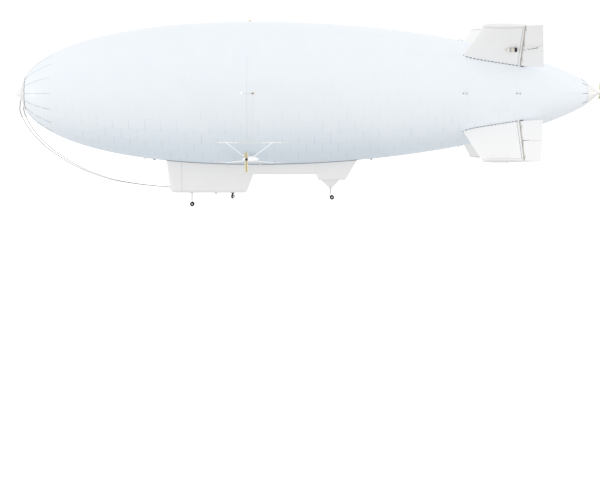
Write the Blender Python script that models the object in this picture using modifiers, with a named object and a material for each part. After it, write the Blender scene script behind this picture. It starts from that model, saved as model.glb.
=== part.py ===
"""A non-rigid airship with a belly gondola, an X tail and three propellers, as a 1:2 scale model.

Sizes below are the full-size airship's, in metres, in the ship's own axes:
X is the station, aft from the nose tip, Y is starboard and Z is up, with the hull's axis at Y = Z = 0.
One empty, the ground stance, halves everything, pitches the ship until both pairs of wheels touch the floor
and puts the origin on the floor under the middle of the ship's length.
A roll angle is counted from straight up, clockwise as seen from behind: 90 degrees is starboard.
"""

import math

import bmesh
import bpy
from mathutils import Matrix, Vector

MODEL_SCALE = 0.5
SEAT_GAP = 0.0006  # between pieces that touch: 0.3 mm in the model

HULL_RADIUS = 6.78
HULL_NOSE = 0.64
HULL_WIDEST = 23.03
HULL_TAIL = 55.50
NOSE_FULLNESS = (2.2, 0.44)
TAIL_FULLNESS = (2.0, 0.68)
ENVELOPE_WALL = 0.020
ENVELOPE_FRONT = 0.72
ENVELOPE_BACK = 54.95
ENVELOPE_RINGS = 20
AROUND_HULL = 48

NOSE_TIP_RADIUS = 0.05
NOSE_CONE_RADIUS = 0.60
DISH_THICKNESS = 0.05
DISH_FRONT = HULL_NOSE - DISH_THICKNESS
DISH_FLAT_RADIUS = 0.66
DISH_CUSP_RADIUS = 1.72
DISH_SCALLOP = 0.13
NOSE_BATTENS = 16
BATTEN_WIDTH = 0.11
BATTEN_HEIGHT = 0.045
NOSE_BATTEN_END = 3.55
SHORT_BATTEN_END = 2.45
STRIP_SINK = 0.06  # what lies on the hull starts below its skin and is cut by it
LINE_EYE_RADIUS = 0.06
EYE_BRACKET_RADIUS = 0.045
EYE_BRACKET_REACH = 0.60

TAIL_CONE_FRONT = 54.45
TAIL_CONE_BACK = 55.62
TAIL_CONE_LIP = 0.035
STERN_MOTOR_RADIUS = 0.16
STERN_MOTOR_LENGTH = 0.06
TAIL_BATTENS = 8
TAIL_BATTEN_FRONT = 52.30
TAIL_BATTEN_HEIGHT = 0.03

FIN_ROLLS = {"upper_starboard": 45, "lower_starboard": 135, "lower_port": 225, "upper_port": 315}
FIN_TIP_SPAN = 8.84
FIN_LEADING_EDGE = ((42.30, 4.75), (43.98, FIN_TIP_SPAN))
FIN_THICKNESS = (0.56, 0.42)
HINGE_STATION = 47.90
HINGE_HALF_THICKNESS = (0.15, 0.115)
HINGE_CLEARANCE = 0.016
FIN_ROOT_AT_HINGE = 3.35
FLAP_ROOT_SPAN = (3.80, 3.50)
FLAP_TRAILING_EDGE = (50.04, 49.44)
FLAP_EDGE_HALF_THICKNESS = 0.012
HINGE_LUG_SPANS = (4.40, 6.30, 8.20)
HINGE_LUG_WIDTH = 0.10
HINGE_LUG_RADIUS = 0.06
HINGE_NOTCH_DEPTH = 0.09
ACTUATOR_SPAN = 6.04
ACTUATOR_REACH = 0.36  # from the fin's middle plane
ACTUATOR_DISC = (47.05, 47.27, 0.20)  # front, back, radius
ACTUATOR_ROD_RADIUS = 0.025
ACTUATOR_ROD_END = 48.03  # short of the horn, which swings in over it
ACTUATOR_FOOT = (46.57, 46.87)
HORN_HALF_WIDTH = 0.035

STAY_RADIUS = 0.012
STAY_STATION = 46.20
STAY_BAR_REACH = 0.24
STAY_BAR_HEIGHT = 0.07
STAY_BAR_HALF_LENGTH = 0.06
STAY_PAD_RADIUS = 0.07
STAY_PAD_HEIGHT = 0.05
STAY_FOOT_STATIONS = (42.44, 47.54)
STAY_FOOT_STAGGER = 0.155  # fore and aft, between two fins' feet

GONDOLA_WIDTH = 1.90
GONDOLA_FLOOR = -9.47
GONDOLA_SPLIT = 15.87
GONDOLA_BACK = (22.03, 23.39)  # at the floor, at the top
BELLY_TOP = -5.90
BELLY_HALF_WIDTH = 0.93
BELLY_ROUNDING = 0.40
KEEL_FLOOR = -7.70
KEEL_BACK = 28.62
BLADE_AERIAL_STATION = 19.07
BLADE_AERIAL_HEIGHT = 0.22
FAIRING_FLOOR = -8.28
FAIRING_APEX = (30.05, -9.02)

TYRE_RADIUS = 0.21
TYRE_WIDTH = 0.17
WHEEL_FACETS = 16
AXLE_RADIUS = 0.030
AXLE_BORE = 0.0315
FRONT_WHEEL = (16.80, -10.57)
REAR_WHEEL = (30.20, -9.93)
FRONT_TRACK = 0.37
REAR_TRACK = 0.31
FRONT_SWIVEL_STATION = 16.78
REAR_SWIVEL_STATION = FAIRING_APEX[0]
FRONT_SWIVEL_TOP = -10.02
REAR_SWIVEL_TOP = -9.34
LEG_FLANGE_RADIUS = 0.15
LEG_FLANGE_HEIGHT = 0.04
LEG_RADIUS = 0.065
SWIVEL_RADIUS = 0.05
SWIVEL_HEIGHT = 0.14
FORK_RADIUS = 0.045
AXLE_BOSS_RADIUS = 0.062
AXLE_BOSS_HALF = 0.085
HUB_RADIUS = 0.055
RIM_RADIUS = 0.115
RIM_DEPTH = 0.02
TYRE_BEAD_RADIUS = 0.135
TYRE_SHOULDER = 0.04

SENSOR_STATION = 20.69
SENSOR_HEIGHT = -9.84
SENSOR_RADIUS = 0.215
SENSOR_PLATE = (0.17, 0.08)  # radius, height
SENSOR_ARM = 0.035
SENSOR_CLEARANCE = 0.012

POD_PIVOT = (22.45, 5.71, -6.06)
POD_LENGTH = (22.30, 23.36)
POD_RADIUS = 0.25
POD_BOSS_SIDE = 5.40
SIDE_PROP_RADIUS = 1.24
SIDE_PROP_STATION = 22.17
DRIVE_BOX_X = (21.92, 22.85)
DRIVE_BOX_Y = (3.71, 4.37)
DRIVE_BOX_Z = (-6.32, -5.97)
DRIVE_TUBE_RADIUS = 0.05
DRIVE_COLLAR_RADIUS = 0.09
DRIVE_EDGE = 0.05
RAIL_SIZE = (0.10, 0.04)
PAD_SIZE = (0.24, 0.07)
STRUT_RADIUS = 0.05
STRUT_INSET = 0.15
# columns: name, rail's roll, its stations, pads' stations, struts' stations on it, strut end: side, height
DRIVE_FRAMES = [
    ("upper", 132.6, (18.87, 26.28), ((19.6, 21.3), (23.6, 25.4)), (20.35, 24.48), (4.22, -5.98)),
    ("lower", 164.0, (18.95, 25.90), ((19.6, 20.9), (24.0, 25.3)), (20.25, 24.55), (3.74, -6.26)),
]

STERN_PROP_RADIUS = 1.04
STERN_PROP_STATION = 55.88
SHIP_LENGTH = 56.25

NOSE_LINE_RADIUS = 0.035
NOSE_LINE_POINTS = 42

PITCH = math.atan2(REAR_WHEEL[1] - FRONT_WHEEL[1], REAR_WHEEL[0] - FRONT_WHEEL[0])

for leftover in list(bpy.data.objects):
    bpy.data.objects.remove(leftover, do_unlink=True)

parts = bpy.data.collections.new("airship")
cutters = bpy.data.collections.new("cutters")
bpy.context.scene.collection.children.link(parts)
bpy.context.scene.collection.children.link(cutters)

stance = bpy.data.objects.new("ground_stance", None)
parts.objects.link(stance)
stance.scale = (MODEL_SCALE, MODEL_SCALE, MODEL_SCALE)
stance.rotation_euler = (0, PITCH, 0)
stance.location = (
    -MODEL_SCALE * SHIP_LENGTH * math.cos(PITCH) / 2,
    0,
    MODEL_SCALE * (FRONT_WHEEL[0] * math.sin(PITCH) - FRONT_WHEEL[1] * math.cos(PITCH) + TYRE_RADIUS),
)


def paint(name, colour, roughness, metallic=0.0):
    material = bpy.data.materials.new(name)
    material.use_nodes = True
    shader = material.node_tree.nodes["Principled BSDF"]
    shader.inputs["Base Color"].default_value = (*colour, 1)
    shader.inputs["Roughness"].default_value = roughness
    shader.inputs["Metallic"].default_value = metallic
    return material


ENVELOPE_FABRIC = paint("envelope_fabric", (0.85, 0.90, 0.95), 0.45)
WHITE_COMPOSITE = paint("white_composite", (0.84, 0.84, 0.85), 0.35)
FIN_COVER = paint("fin_cover", (0.84, 0.84, 0.85), 0.45)
WHITE_TUBE = paint("white_tube", (0.80, 0.80, 0.81), 0.30)
DARK_METAL = paint("dark_metal", (0.05, 0.05, 0.055), 0.40, 0.6)
TYRE_RUBBER = paint("tyre_rubber", (0.03, 0.03, 0.03), 0.85)
TAN_BLADE = paint("tan_blade", (0.72, 0.65, 0.42), 0.40)
LINE_ROPE = paint("line_rope", (0.75, 0.75, 0.75), 0.80)
STAY_WIRE = paint("stay_wire", (0.70, 0.71, 0.72), 0.35, 0.8)


def add(name, bm, material, origin=(0, 0, 0), roll=0.0, collection=parts):
    """An object from a mesh in ship axes, or in a fin's own axes where it has a roll."""
    mesh = bpy.data.meshes.new(name)
    bm.to_mesh(mesh)
    bm.free()
    mesh.transform(Matrix.Translation(-Vector(origin)))
    mesh.shade_smooth()
    mesh.set_sharp_from_angle(angle=math.radians(32))
    mesh.materials.append(material)
    piece = bpy.data.objects.new(name, mesh)
    piece.parent = stance
    piece.rotation_euler = (-math.radians(roll), 0, 0)
    piece.location = origin
    collection.objects.link(piece)
    return piece


def add_cutter(name, bm, origin=(0, 0, 0), roll=0.0):
    cutter = add(name, bm, WHITE_COMPOSITE, origin, roll, cutters)
    cutter.hide_render = True
    cutter.display_type = "WIRE"
    return cutter


def boolean(piece, operation, cutter, crossing=False):
    """Joins or cuts a piece. The cutter's bodies may be crossing one another, which takes a slower way."""
    modifier = piece.modifiers.new(f"{operation}_{cutter.name}".lower(), "BOOLEAN")
    modifier.operation = operation
    modifier.object = cutter
    modifier.use_self = crossing


def loft(bm, sections):
    """Adds a closed body through like outlines, each a ring of points, with a face at both ends."""
    rings = [[bm.verts.new(point) for point in section] for section in sections]
    faces = [bm.faces.new(list(reversed(rings[0]))), bm.faces.new(rings[-1])]
    for ring, following in zip(rings, rings[1:]):
        for i in range(len(ring)):
            j = (i + 1) % len(ring)
            faces.append(bm.faces.new((ring[i], ring[j], following[j], following[i])))
    bmesh.ops.recalc_face_normals(bm, faces=faces)
    return bm


def box(bm, x, y, z):
    """Adds a box between two limits on each axis."""
    size = Matrix.Diagonal((x[1] - x[0], y[1] - y[0], z[1] - z[0], 1))
    middle = Matrix.Translation(((x[0] + x[1]) / 2, (y[0] + y[1]) / 2, (z[0] + z[1]) / 2))
    bmesh.ops.create_cube(bm, size=1, matrix=middle @ size)
    return bm


def rod(bm, start, end, radius, sides=12):
    """Adds a round rod between two points."""
    start, end = Vector(start), Vector(end)
    along = end - start
    turn = along.to_track_quat("Z", "Y").to_matrix().to_4x4()
    bmesh.ops.create_cone(
        bm,
        cap_ends=True,
        segments=sides,
        radius1=radius,
        radius2=radius,
        depth=along.length,
        matrix=Matrix.Translation((start + end) / 2) @ turn,
    )
    return bm


def sorted_along(profile):
    """The same profile, from its low end to its high end, so that every turned piece faces outward."""
    return profile if profile[0][0] <= profile[-1][0] else list(reversed(profile))


def turned(name, profile, material, axis="X", origin=(0, 0, 0), steps=32, collection=parts):
    """A solid of revolution about X or Y: profile rows are (place on the axis, radius)."""
    bm = bmesh.new()
    for place, radius in sorted_along(profile):
        bm.verts.new((place, 0, radius) if axis == "X" else (0, place, radius))
    bm.verts.ensure_lookup_table()
    for i in range(len(profile) - 1):
        bm.edges.new((bm.verts[i], bm.verts[i + 1]))
    piece = add(name, bm, material, (0, 0, 0), collection=collection)
    piece.location = origin
    screw = piece.modifiers.new("turn", "SCREW")
    screw.axis = axis
    screw.steps = steps
    screw.render_steps = steps
    screw.use_merge_vertices = True
    screw.merge_threshold = 0.0001
    screw.use_normal_flip = True
    return piece


def hull_radius(station):
    """The hull's outline: two flattened ellipses that meet at the widest station."""
    if station < HULL_WIDEST:
        share = (HULL_WIDEST - station) / (HULL_WIDEST - HULL_NOSE)
        power, root = NOSE_FULLNESS
    else:
        share = (station - HULL_WIDEST) / (HULL_TAIL - HULL_WIDEST)
        power, root = TAIL_FULLNESS
    return HULL_RADIUS * max(0.0, 1 - share**power) ** root


def around(roll_deg, station, radius, sideways=0.0):
    """A point at a roll angle and a radius from the hull's axis, moved sideways along the hull."""
    roll = math.radians(roll_deg)
    return Vector((
        station,
        radius * math.sin(roll) + sideways * math.cos(roll),
        radius * math.cos(roll) - sideways * math.sin(roll),
    ))


def hull_stations(front, back, count):
    """Stations that crowd towards both ends, where the outline curves most."""
    middle, half = (front + back) / 2, (back - front) / 2
    return [middle - half * math.cos(math.pi * i / count) for i in range(count + 1)]


def hull_normal(station):
    """The outline's outward direction, as its parts along the axis and across it."""
    step = 0.01
    rise = hull_radius(station + step) - hull_radius(station - step)
    length = math.hypot(rise, 2 * step)
    return -rise / length, 2 * step / length


ENVELOPE_STATIONS = hull_stations(ENVELOPE_FRONT, ENVELOPE_BACK, ENVELOPE_RINGS)


def make_envelope():
    """The gas envelope is one thin skin, open under the nose dish and under the tail cone."""
    outline = [(station, hull_radius(station)) for station in ENVELOPE_STATIONS]
    envelope = turned("envelope", outline, ENVELOPE_FABRIC, steps=AROUND_HULL)
    wall = envelope.modifiers.new("wall", "SOLIDIFY")
    wall.thickness = ENVELOPE_WALL
    wall.offset = -1
    return envelope


def make_hull_seat():
    """The envelope's outside as a solid, a seat gap larger, that every piece on the hull is cut by."""
    outline = [(HULL_NOSE - SEAT_GAP, 0.0)]
    for station in ENVELOPE_STATIONS:
        aft, out = hull_normal(station)
        outline.append((station + aft * SEAT_GAP, hull_radius(station) + out * SEAT_GAP))
    outline.append((HULL_TAIL + SEAT_GAP, 0.0))
    seat = turned("hull_seat", outline, WHITE_COMPOSITE, steps=AROUND_HULL, collection=cutters)
    seat.hide_render = True
    seat.display_type = "WIRE"
    return seat


hull_seat = make_hull_seat()


def hull_strip(bm, roll, front, back, width, height, steps):
    """Adds a strip that follows the hull at one roll angle, from below its skin to a height above it."""
    sections = []
    for i in range(steps + 1):
        station = front + (back - front) * i / steps
        aft, out = hull_normal(station)
        section = []
        for side, lift in ((-1, -STRIP_SINK), (1, -STRIP_SINK), (1, height), (-1, height)):
            section.append(
                around(roll, station + aft * lift, hull_radius(station) + out * lift, side * width / 2)
            )
        sections.append(section)
    loft(bm, sections)


def make_nose():
    """A scalloped dish caps the nose, with battens that fan out from its cusps and the two line eyes."""
    bm = bmesh.new()
    segments = NOSE_BATTENS * 3
    rims = [DISH_CUSP_RADIUS - (DISH_SCALLOP if i % 3 else 0) for i in range(segments)]

    def dish_ring(share, lift):
        ring = []
        for i, rim in enumerate(rims):
            radius = DISH_FLAT_RADIUS + (rim - DISH_FLAT_RADIUS) * share
            station = nose_station(radius)
            aft, out = hull_normal(station)
            ring.append(around(360 * i / segments, station + aft * lift, radius + out * lift))
        return ring

    flat = [around(360 * i / segments, DISH_FRONT, DISH_FLAT_RADIUS) for i in range(segments)]
    inside = [around(360 * i / segments, 2.2, 0.8) for i in range(segments)]
    loft(
        bm,
        [
            flat,
            dish_ring(0.5, DISH_THICKNESS),
            dish_ring(1.0, DISH_THICKNESS * 0.8),
            dish_ring(1.0, -0.05),
            inside,
        ],
    )
    dish = add("nose_dish_and_battens", bm, WHITE_COMPOSITE)

    fan = bmesh.new()
    for i in range(NOSE_BATTENS):
        end = SHORT_BATTEN_END if i in (0, NOSE_BATTENS // 2) else NOSE_BATTEN_END
        start = nose_station(DISH_CUSP_RADIUS - 0.14)
        hull_strip(fan, 360 * i / NOSE_BATTENS, start, end, BATTEN_WIDTH, BATTEN_HEIGHT, 4)
    for side in (-1, 1):
        eye_top, eye_end = nose_line_eye(side)
        rod(fan, eye_top, eye_end, LINE_EYE_RADIUS, sides=10)
        middle = eye_top.lerp(eye_end, 0.4)
        rod(fan, middle, middle + Vector((EYE_BRACKET_REACH, 0, 0)), EYE_BRACKET_RADIUS, sides=8)
    boolean(dish, "UNION", add_cutter("nose_fan", fan), crossing=True)
    boolean(dish, "DIFFERENCE", hull_seat)

    base = DISH_FRONT - SEAT_GAP
    turned(
        "nose_cone",
        [(base, 0), (base, NOSE_CONE_RADIUS), (0.42, 0.40), (0, NOSE_TIP_RADIUS), (0, 0)],
        WHITE_COMPOSITE,
    )


def nose_station(radius):
    """The station where the hull's nose has a radius."""
    power, root = NOSE_FULLNESS
    share = (1 - (radius / HULL_RADIUS) ** (1 / root)) ** (1 / power)
    return HULL_WIDEST - (HULL_WIDEST - HULL_NOSE) * share


def nose_line_eye(side):
    """The ends of the round eye in front of the dish that a nose line leaves from, nearly straight down."""
    return Vector((0.66, side * 1.20, -0.36)), Vector((0.63, side * 1.20, -0.66))


def nose_line_anchor(side):
    """The ends of the round anchor on the gondola's front that a nose line runs into."""
    return Vector((14.95, side * 0.25, -8.97)), Vector((14.56, side * 0.25, -8.93))


def make_tail_cone():
    """A cone closes the tail and carries the stern motor, with eight battens that run forward from it."""
    lip = hull_radius(TAIL_CONE_FRONT) + TAIL_CONE_LIP
    cone = turned(
        "tail_cone_and_battens",
        [
            (TAIL_CONE_FRONT, 0),
            (TAIL_CONE_FRONT, lip),
            (54.80, hull_radius(54.80) + 0.06),
            (55.20, 0.50),
            (TAIL_CONE_BACK - STERN_MOTOR_LENGTH, STERN_MOTOR_RADIUS),
            (TAIL_CONE_BACK, STERN_MOTOR_RADIUS),
            (TAIL_CONE_BACK, 0),
        ],
        WHITE_COMPOSITE,
    )
    fan = bmesh.new()
    for i in range(TAIL_BATTENS):
        roll = 360 * i / TAIL_BATTENS
        hull_strip(fan, roll, TAIL_BATTEN_FRONT, TAIL_CONE_FRONT + 0.15, BATTEN_WIDTH, TAIL_BATTEN_HEIGHT, 3)
    boolean(cone, "UNION", add_cutter("tail_fan", fan))
    boolean(cone, "DIFFERENCE", hull_seat)


def fin_section(span, leading, trailing, thickness, end_half_thickness):
    """One chordwise outline of a fin, from its round leading edge back to the hinge gap."""
    # rows: share of the chord, share of the half thickness
    rows = [(0.0, 0.0), (0.03, 0.42), (0.10, 0.72), (0.28, 1.0), (0.62, 0.92)]
    half = [(leading + (trailing - leading) * share, thickness / 2 * depth) for share, depth in rows]
    half.append((trailing, end_half_thickness))
    points = [Vector((x, y, 0)) for x, y in half]
    points += [Vector((x, -y, 0)) for x, y in reversed(half[1:])]
    for point in points:
        share = (point.x - leading) / (trailing - leading)
        point.z = span[0] + (span[1] - span[0]) * share
    return points


def flap_section(span, trailing, radius):
    """One outline of a ruddervator, from its half-round nose at the hinge to a thin trailing edge."""
    half = [(-radius, 0.0), (-radius * 0.71, radius * 0.71), (0.0, radius)]
    half.append((trailing - HINGE_STATION, FLAP_EDGE_HALF_THICKNESS))
    points = [Vector((HINGE_STATION + x, y, 0)) for x, y in half]
    points += [Vector((HINGE_STATION + x, -y, 0)) for x, y in reversed(half[1:])]
    for point in points:
        share = max(0.0, point.x - HINGE_STATION) / (trailing - HINGE_STATION)
        point.z = span[0] + (span[1] - span[0]) * share
    return points


def fin_body(extra=0.0):
    """A fixed fin from its root inside the hull to its tip, with both faces moved out by an extra."""
    (root_x, root_z), (tip_x, tip_z) = FIN_LEADING_EDGE
    sections = []
    for start, leading, end, thickness, half in (
        (root_z, root_x, FIN_ROOT_AT_HINGE, FIN_THICKNESS[0], HINGE_HALF_THICKNESS[0]),
        (tip_z, tip_x, tip_z, FIN_THICKNESS[1], HINGE_HALF_THICKNESS[1]),
    ):
        trailing = HINGE_STATION - half - HINGE_CLEARANCE
        sections.append(fin_section((start, end), leading, trailing, thickness + 2 * extra, half + extra))
    return loft(bmesh.new(), sections)


def make_fin(place, roll):
    """A fixed fin on the hull with three hinge lugs, its ruddervator, and an actuator on the lower face."""
    fin = add(f"fin_{place}", fin_body(), FIN_COVER, roll=roll)
    lug_root = HINGE_STATION - HINGE_HALF_THICKNESS[0] - HINGE_CLEARANCE - 0.10
    lugs = bmesh.new()
    notches = bmesh.new()
    for span in HINGE_LUG_SPANS:
        low, high = span - HINGE_LUG_WIDTH / 2, span + HINGE_LUG_WIDTH / 2
        outline = [(lug_root, -HINGE_LUG_RADIUS), (lug_root, HINGE_LUG_RADIUS)]
        for i in range(7):
            turn = math.radians(90 - 30 * i)
            outline.append((
                HINGE_STATION + HINGE_LUG_RADIUS * math.cos(turn),
                HINGE_LUG_RADIUS * math.sin(turn),
            ))
        loft(lugs, [[Vector((x, y, z)) for x, y in outline] for z in (low, high)])
        box(
            notches,
            (HINGE_STATION - 0.3, HINGE_STATION + HINGE_NOTCH_DEPTH),
            (-0.3, 0.3),
            (low - SEAT_GAP, high + SEAT_GAP),
        )
    boolean(fin, "UNION", add_cutter(f"lugs_{place}", lugs, roll=roll))
    boolean(fin, "DIFFERENCE", hull_seat)

    hinge = (HINGE_STATION, 0, 0)
    flap = add(
        f"ruddervator_{place}",
        loft(
            bmesh.new(),
            [
                flap_section(FLAP_ROOT_SPAN, FLAP_TRAILING_EDGE[0], HINGE_HALF_THICKNESS[0]),
                flap_section((FIN_TIP_SPAN, FIN_TIP_SPAN), FLAP_TRAILING_EDGE[1], HINGE_HALF_THICKNESS[1]),
            ],
        ),
        FIN_COVER,
        hinge,
        roll,
    )
    boolean(flap, "DIFFERENCE", add_cutter(f"notches_{place}", notches, hinge, roll))

    lower = 1 if roll < 180 else -1
    horn = bmesh.new()
    loft(
        horn,
        [
            [
                Vector((x, lower * y, ACTUATOR_SPAN + z))
                for x, y in ((48.15, 0.08), (48.25, 0.30), (48.37, 0.30), (49.28, 0.03))
            ]
            for z in (-HORN_HALF_WIDTH, HORN_HALF_WIDTH)
        ],
    )
    boolean(flap, "UNION", add_cutter(f"horn_{place}", horn, hinge, roll))

    octagon = [(-1, -0.5), (-0.5, -1), (0.5, -1), (1, -0.5), (1, 0.5), (0.5, 1), (-0.5, 1), (-1, 0.5)]
    actuator = bmesh.new()
    middle = lower * ACTUATOR_REACH
    loft(
        actuator,
        [
            [
                Vector((x, middle + width * y, ACTUATOR_SPAN + width * z))
                for y, z in octagon
            ]
            for x, width in ((46.22, 0.06), (46.37, 0.15), (46.92, 0.17), (47.07, 0.15))
        ],
    )
    disc_front, disc_back, disc_radius = ACTUATOR_DISC
    motor = rod(
        bmesh.new(),
        (disc_front, middle, ACTUATOR_SPAN),
        (disc_back, middle, ACTUATOR_SPAN),
        disc_radius,
        sides=16,
    )
    rod_start = (disc_back - 0.06, middle, ACTUATOR_SPAN)
    rod(motor, rod_start, (ACTUATOR_ROD_END, middle, ACTUATOR_SPAN), ACTUATOR_ROD_RADIUS, sides=8)
    box(motor, ACTUATOR_FOOT, tuple(sorted((0, middle))), (ACTUATOR_SPAN - 0.05, ACTUATOR_SPAN + 0.05))
    drive = add(f"fin_actuator_{place}", actuator, DARK_METAL, roll=roll)
    boolean(drive, "UNION", add_cutter(f"motor_{place}", motor, roll=roll), crossing=True)
    boolean(drive, "DIFFERENCE", add_cutter(f"fin_seat_{place}", fin_body(1.2 * SEAT_GAP), roll=roll))


def make_stays(place, roll):
    """Four wires brace a bar on a fin's tip to the lines along the hull on both sides of it."""
    seat = FIN_TIP_SPAN + SEAT_GAP
    bar = box(
        bmesh.new(),
        (STAY_STATION - STAY_BAR_HALF_LENGTH, STAY_STATION + STAY_BAR_HALF_LENGTH),
        (-STAY_BAR_REACH, STAY_BAR_REACH),
        (seat, seat + STAY_BAR_HEIGHT),
    )
    wires = bmesh.new()
    for face in (-1, 1):
        start = Vector((STAY_STATION, face * (STAY_BAR_REACH - 0.03), seat + STAY_BAR_HEIGHT / 2))
        for middle in STAY_FOOT_STATIONS:
            station = middle + face * STAY_FOOT_STAGGER
            aft, out = hull_normal(station)
            foot = around(45 * face, station, hull_radius(station))
            lift = around(45 * face, aft * STAY_PAD_HEIGHT, out * STAY_PAD_HEIGHT)
            rod(wires, start, foot, STAY_RADIUS, sides=6)
            rod(wires, foot - lift, foot + lift, STAY_PAD_RADIUS, sides=8)
    stays = add(f"fin_stays_{place}", bar, STAY_WIRE, roll=roll)
    boolean(stays, "UNION", add_cutter(f"wires_{place}", wires, roll=roll), crossing=True)
    boolean(stays, "DIFFERENCE", hull_seat)


def belly_body(name, outline, half_widths, bevels, material=WHITE_COMPOSITE):
    """A body under the hull, from a side outline with a half width and a bevel weight for each corner.

    outline rows are (station, height), counter-clockwise as seen from starboard, the two top corners last.
    """
    bm = bmesh.new()
    sides = [
        [bm.verts.new((x, side * half, z)) for (x, z), half in zip(outline, half_widths)] for side in (-1, 1)
    ]
    weight = bm.edges.layers.float.new("bevel_weight_edge")
    count = len(outline)
    bm.faces.new(sides[0])
    bm.faces.new(list(reversed(sides[1])))
    for i in range(count):
        j = (i + 1) % count
        bm.faces.new((sides[0][i], sides[0][j], sides[1][j], sides[1][i]))
    bmesh.ops.recalc_face_normals(bm, faces=bm.faces)
    for i, amount in enumerate(bevels):
        j = (i + 1) % count
        for side in sides:
            bm.edges.get((side[i], side[j]))[weight] = amount[0]
        bm.edges.get((sides[0][i], sides[1][i]))[weight] = amount[1]
    body = add(name, bm, material)
    rounding = body.modifiers.new("rounding", "BEVEL")
    rounding.limit_method = "WEIGHT"
    rounding.width = BELLY_ROUNDING
    rounding.segments = 3
    return body


def make_gondola():
    """The gondola hangs under the hull: a nose cap and a body, closed and with no windows."""
    # columns: station, height, half width, bevel of the side edge to the next corner, and of this cross edge
    rows = [
        (14.76, GONDOLA_FLOOR, 0.90, 1.0, 1.0),
        (GONDOLA_BACK[0], GONDOLA_FLOOR, 0.90, 0.25, 0.55),
        (GONDOLA_BACK[1], BELLY_TOP, GONDOLA_WIDTH / 2, 0.0, 0.0),
        (14.31, BELLY_TOP, GONDOLA_WIDTH / 2, 0.9, 0.0),
    ]
    outline = [(row[0], row[1]) for row in rows]
    halves = [row[2] for row in rows]
    bevels = [(row[3], row[4]) for row in rows]
    cap = belly_body("gondola_nose_cap", outline, halves, bevels)
    anchors = bmesh.new()
    for side in (-1, 1):
        rod(anchors, *nose_line_anchor(side), LINE_EYE_RADIUS, sides=10)
    boolean(cap, "UNION", add_cutter("line_anchors", anchors))
    body = belly_body("gondola_body", outline, halves, bevels)
    for piece, other_half in ((cap, (GONDOLA_SPLIT - SEAT_GAP, SHIP_LENGTH)), (body, (0, GONDOLA_SPLIT))):
        across = (-HULL_RADIUS, HULL_RADIUS)
        other = add_cutter(f"{piece.name}_split", box(bmesh.new(), other_half, across, (-2 * HULL_RADIUS, 0)))
        boolean(piece, "DIFFERENCE", other)
        boolean(piece, "DIFFERENCE", hull_seat)


def make_keel():
    """A straight keel fairing runs aft from the gondola to the rear gear's fairing."""
    slope = (GONDOLA_BACK[1] - GONDOLA_BACK[0]) / (BELLY_TOP - GONDOLA_FLOOR)
    front = GONDOLA_BACK[0] + slope * (KEEL_FLOOR - GONDOLA_FLOOR) + 2 * SEAT_GAP
    keel = belly_body(
        "keel_fairing",
        [
            (front, KEEL_FLOOR),
            (KEEL_BACK, KEEL_FLOOR),
            (KEEL_BACK, BELLY_TOP),
            (GONDOLA_BACK[1] + 2 * SEAT_GAP, BELLY_TOP),
        ],
        [BELLY_HALF_WIDTH, BELLY_HALF_WIDTH, GONDOLA_WIDTH / 2, GONDOLA_WIDTH / 2],
        [(0.45, 0.0), (0.0, 0.0), (0.0, 0.0), (0.0, 0.0)],
    )
    boolean(keel, "DIFFERENCE", hull_seat)


def make_aft_fairing():
    """The aft fairing is a shallow box with a narrow V under it that carries the rear gear."""
    front = KEEL_BACK + SEAT_GAP
    fairing = belly_body(
        "aft_fairing",
        [
            (front, BELLY_TOP - 0.3),
            (front, KEEL_FLOOR + 0.01),
            (28.92, FAIRING_FLOOR),
            (31.50, FAIRING_FLOOR + 0.05),
            (32.75, -6.05),
        ],
        [GONDOLA_WIDTH / 2, BELLY_HALF_WIDTH, 0.90, 0.90, GONDOLA_WIDTH / 2],
        [(0.0, 0.0), (0.25, 0.0), (0.45, 0.2), (0.25, 0.2), (0.0, 0.0)],
    )
    wedge = loft(
        bmesh.new(),
        [
            [Vector((29.15, y, FAIRING_FLOOR + 0.12)) for y in (-0.62, 0.62)]
            + [Vector((30.90, y, FAIRING_FLOOR + 0.12)) for y in (0.62, -0.62)],
            [Vector((FAIRING_APEX[0] - 0.14, y, FAIRING_APEX[1])) for y in (-0.16, 0.16)]
            + [Vector((FAIRING_APEX[0] + 0.16, y, FAIRING_APEX[1])) for y in (0.16, -0.16)],
        ],
    )
    boolean(fairing, "UNION", add_cutter("fairing_wedge", wedge))
    boolean(fairing, "DIFFERENCE", hull_seat)


def make_belly_blade():
    """A blade aerial stands under the gondola's floor."""
    top = GONDOLA_FLOOR - SEAT_GAP
    add(
        "belly_blade",
        loft(
            bmesh.new(),
            [
                [
                    Vector((BLADE_AERIAL_STATION + x, y, z))
                    for x, y in ((-chord, 0), (-chord / 3, -0.02), (chord, 0), (-chord / 3, 0.02))
                ]
                for chord, z in ((0.16, top), (0.10, top - BLADE_AERIAL_HEIGHT))
            ],
        ),
        WHITE_COMPOSITE,
    )


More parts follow.
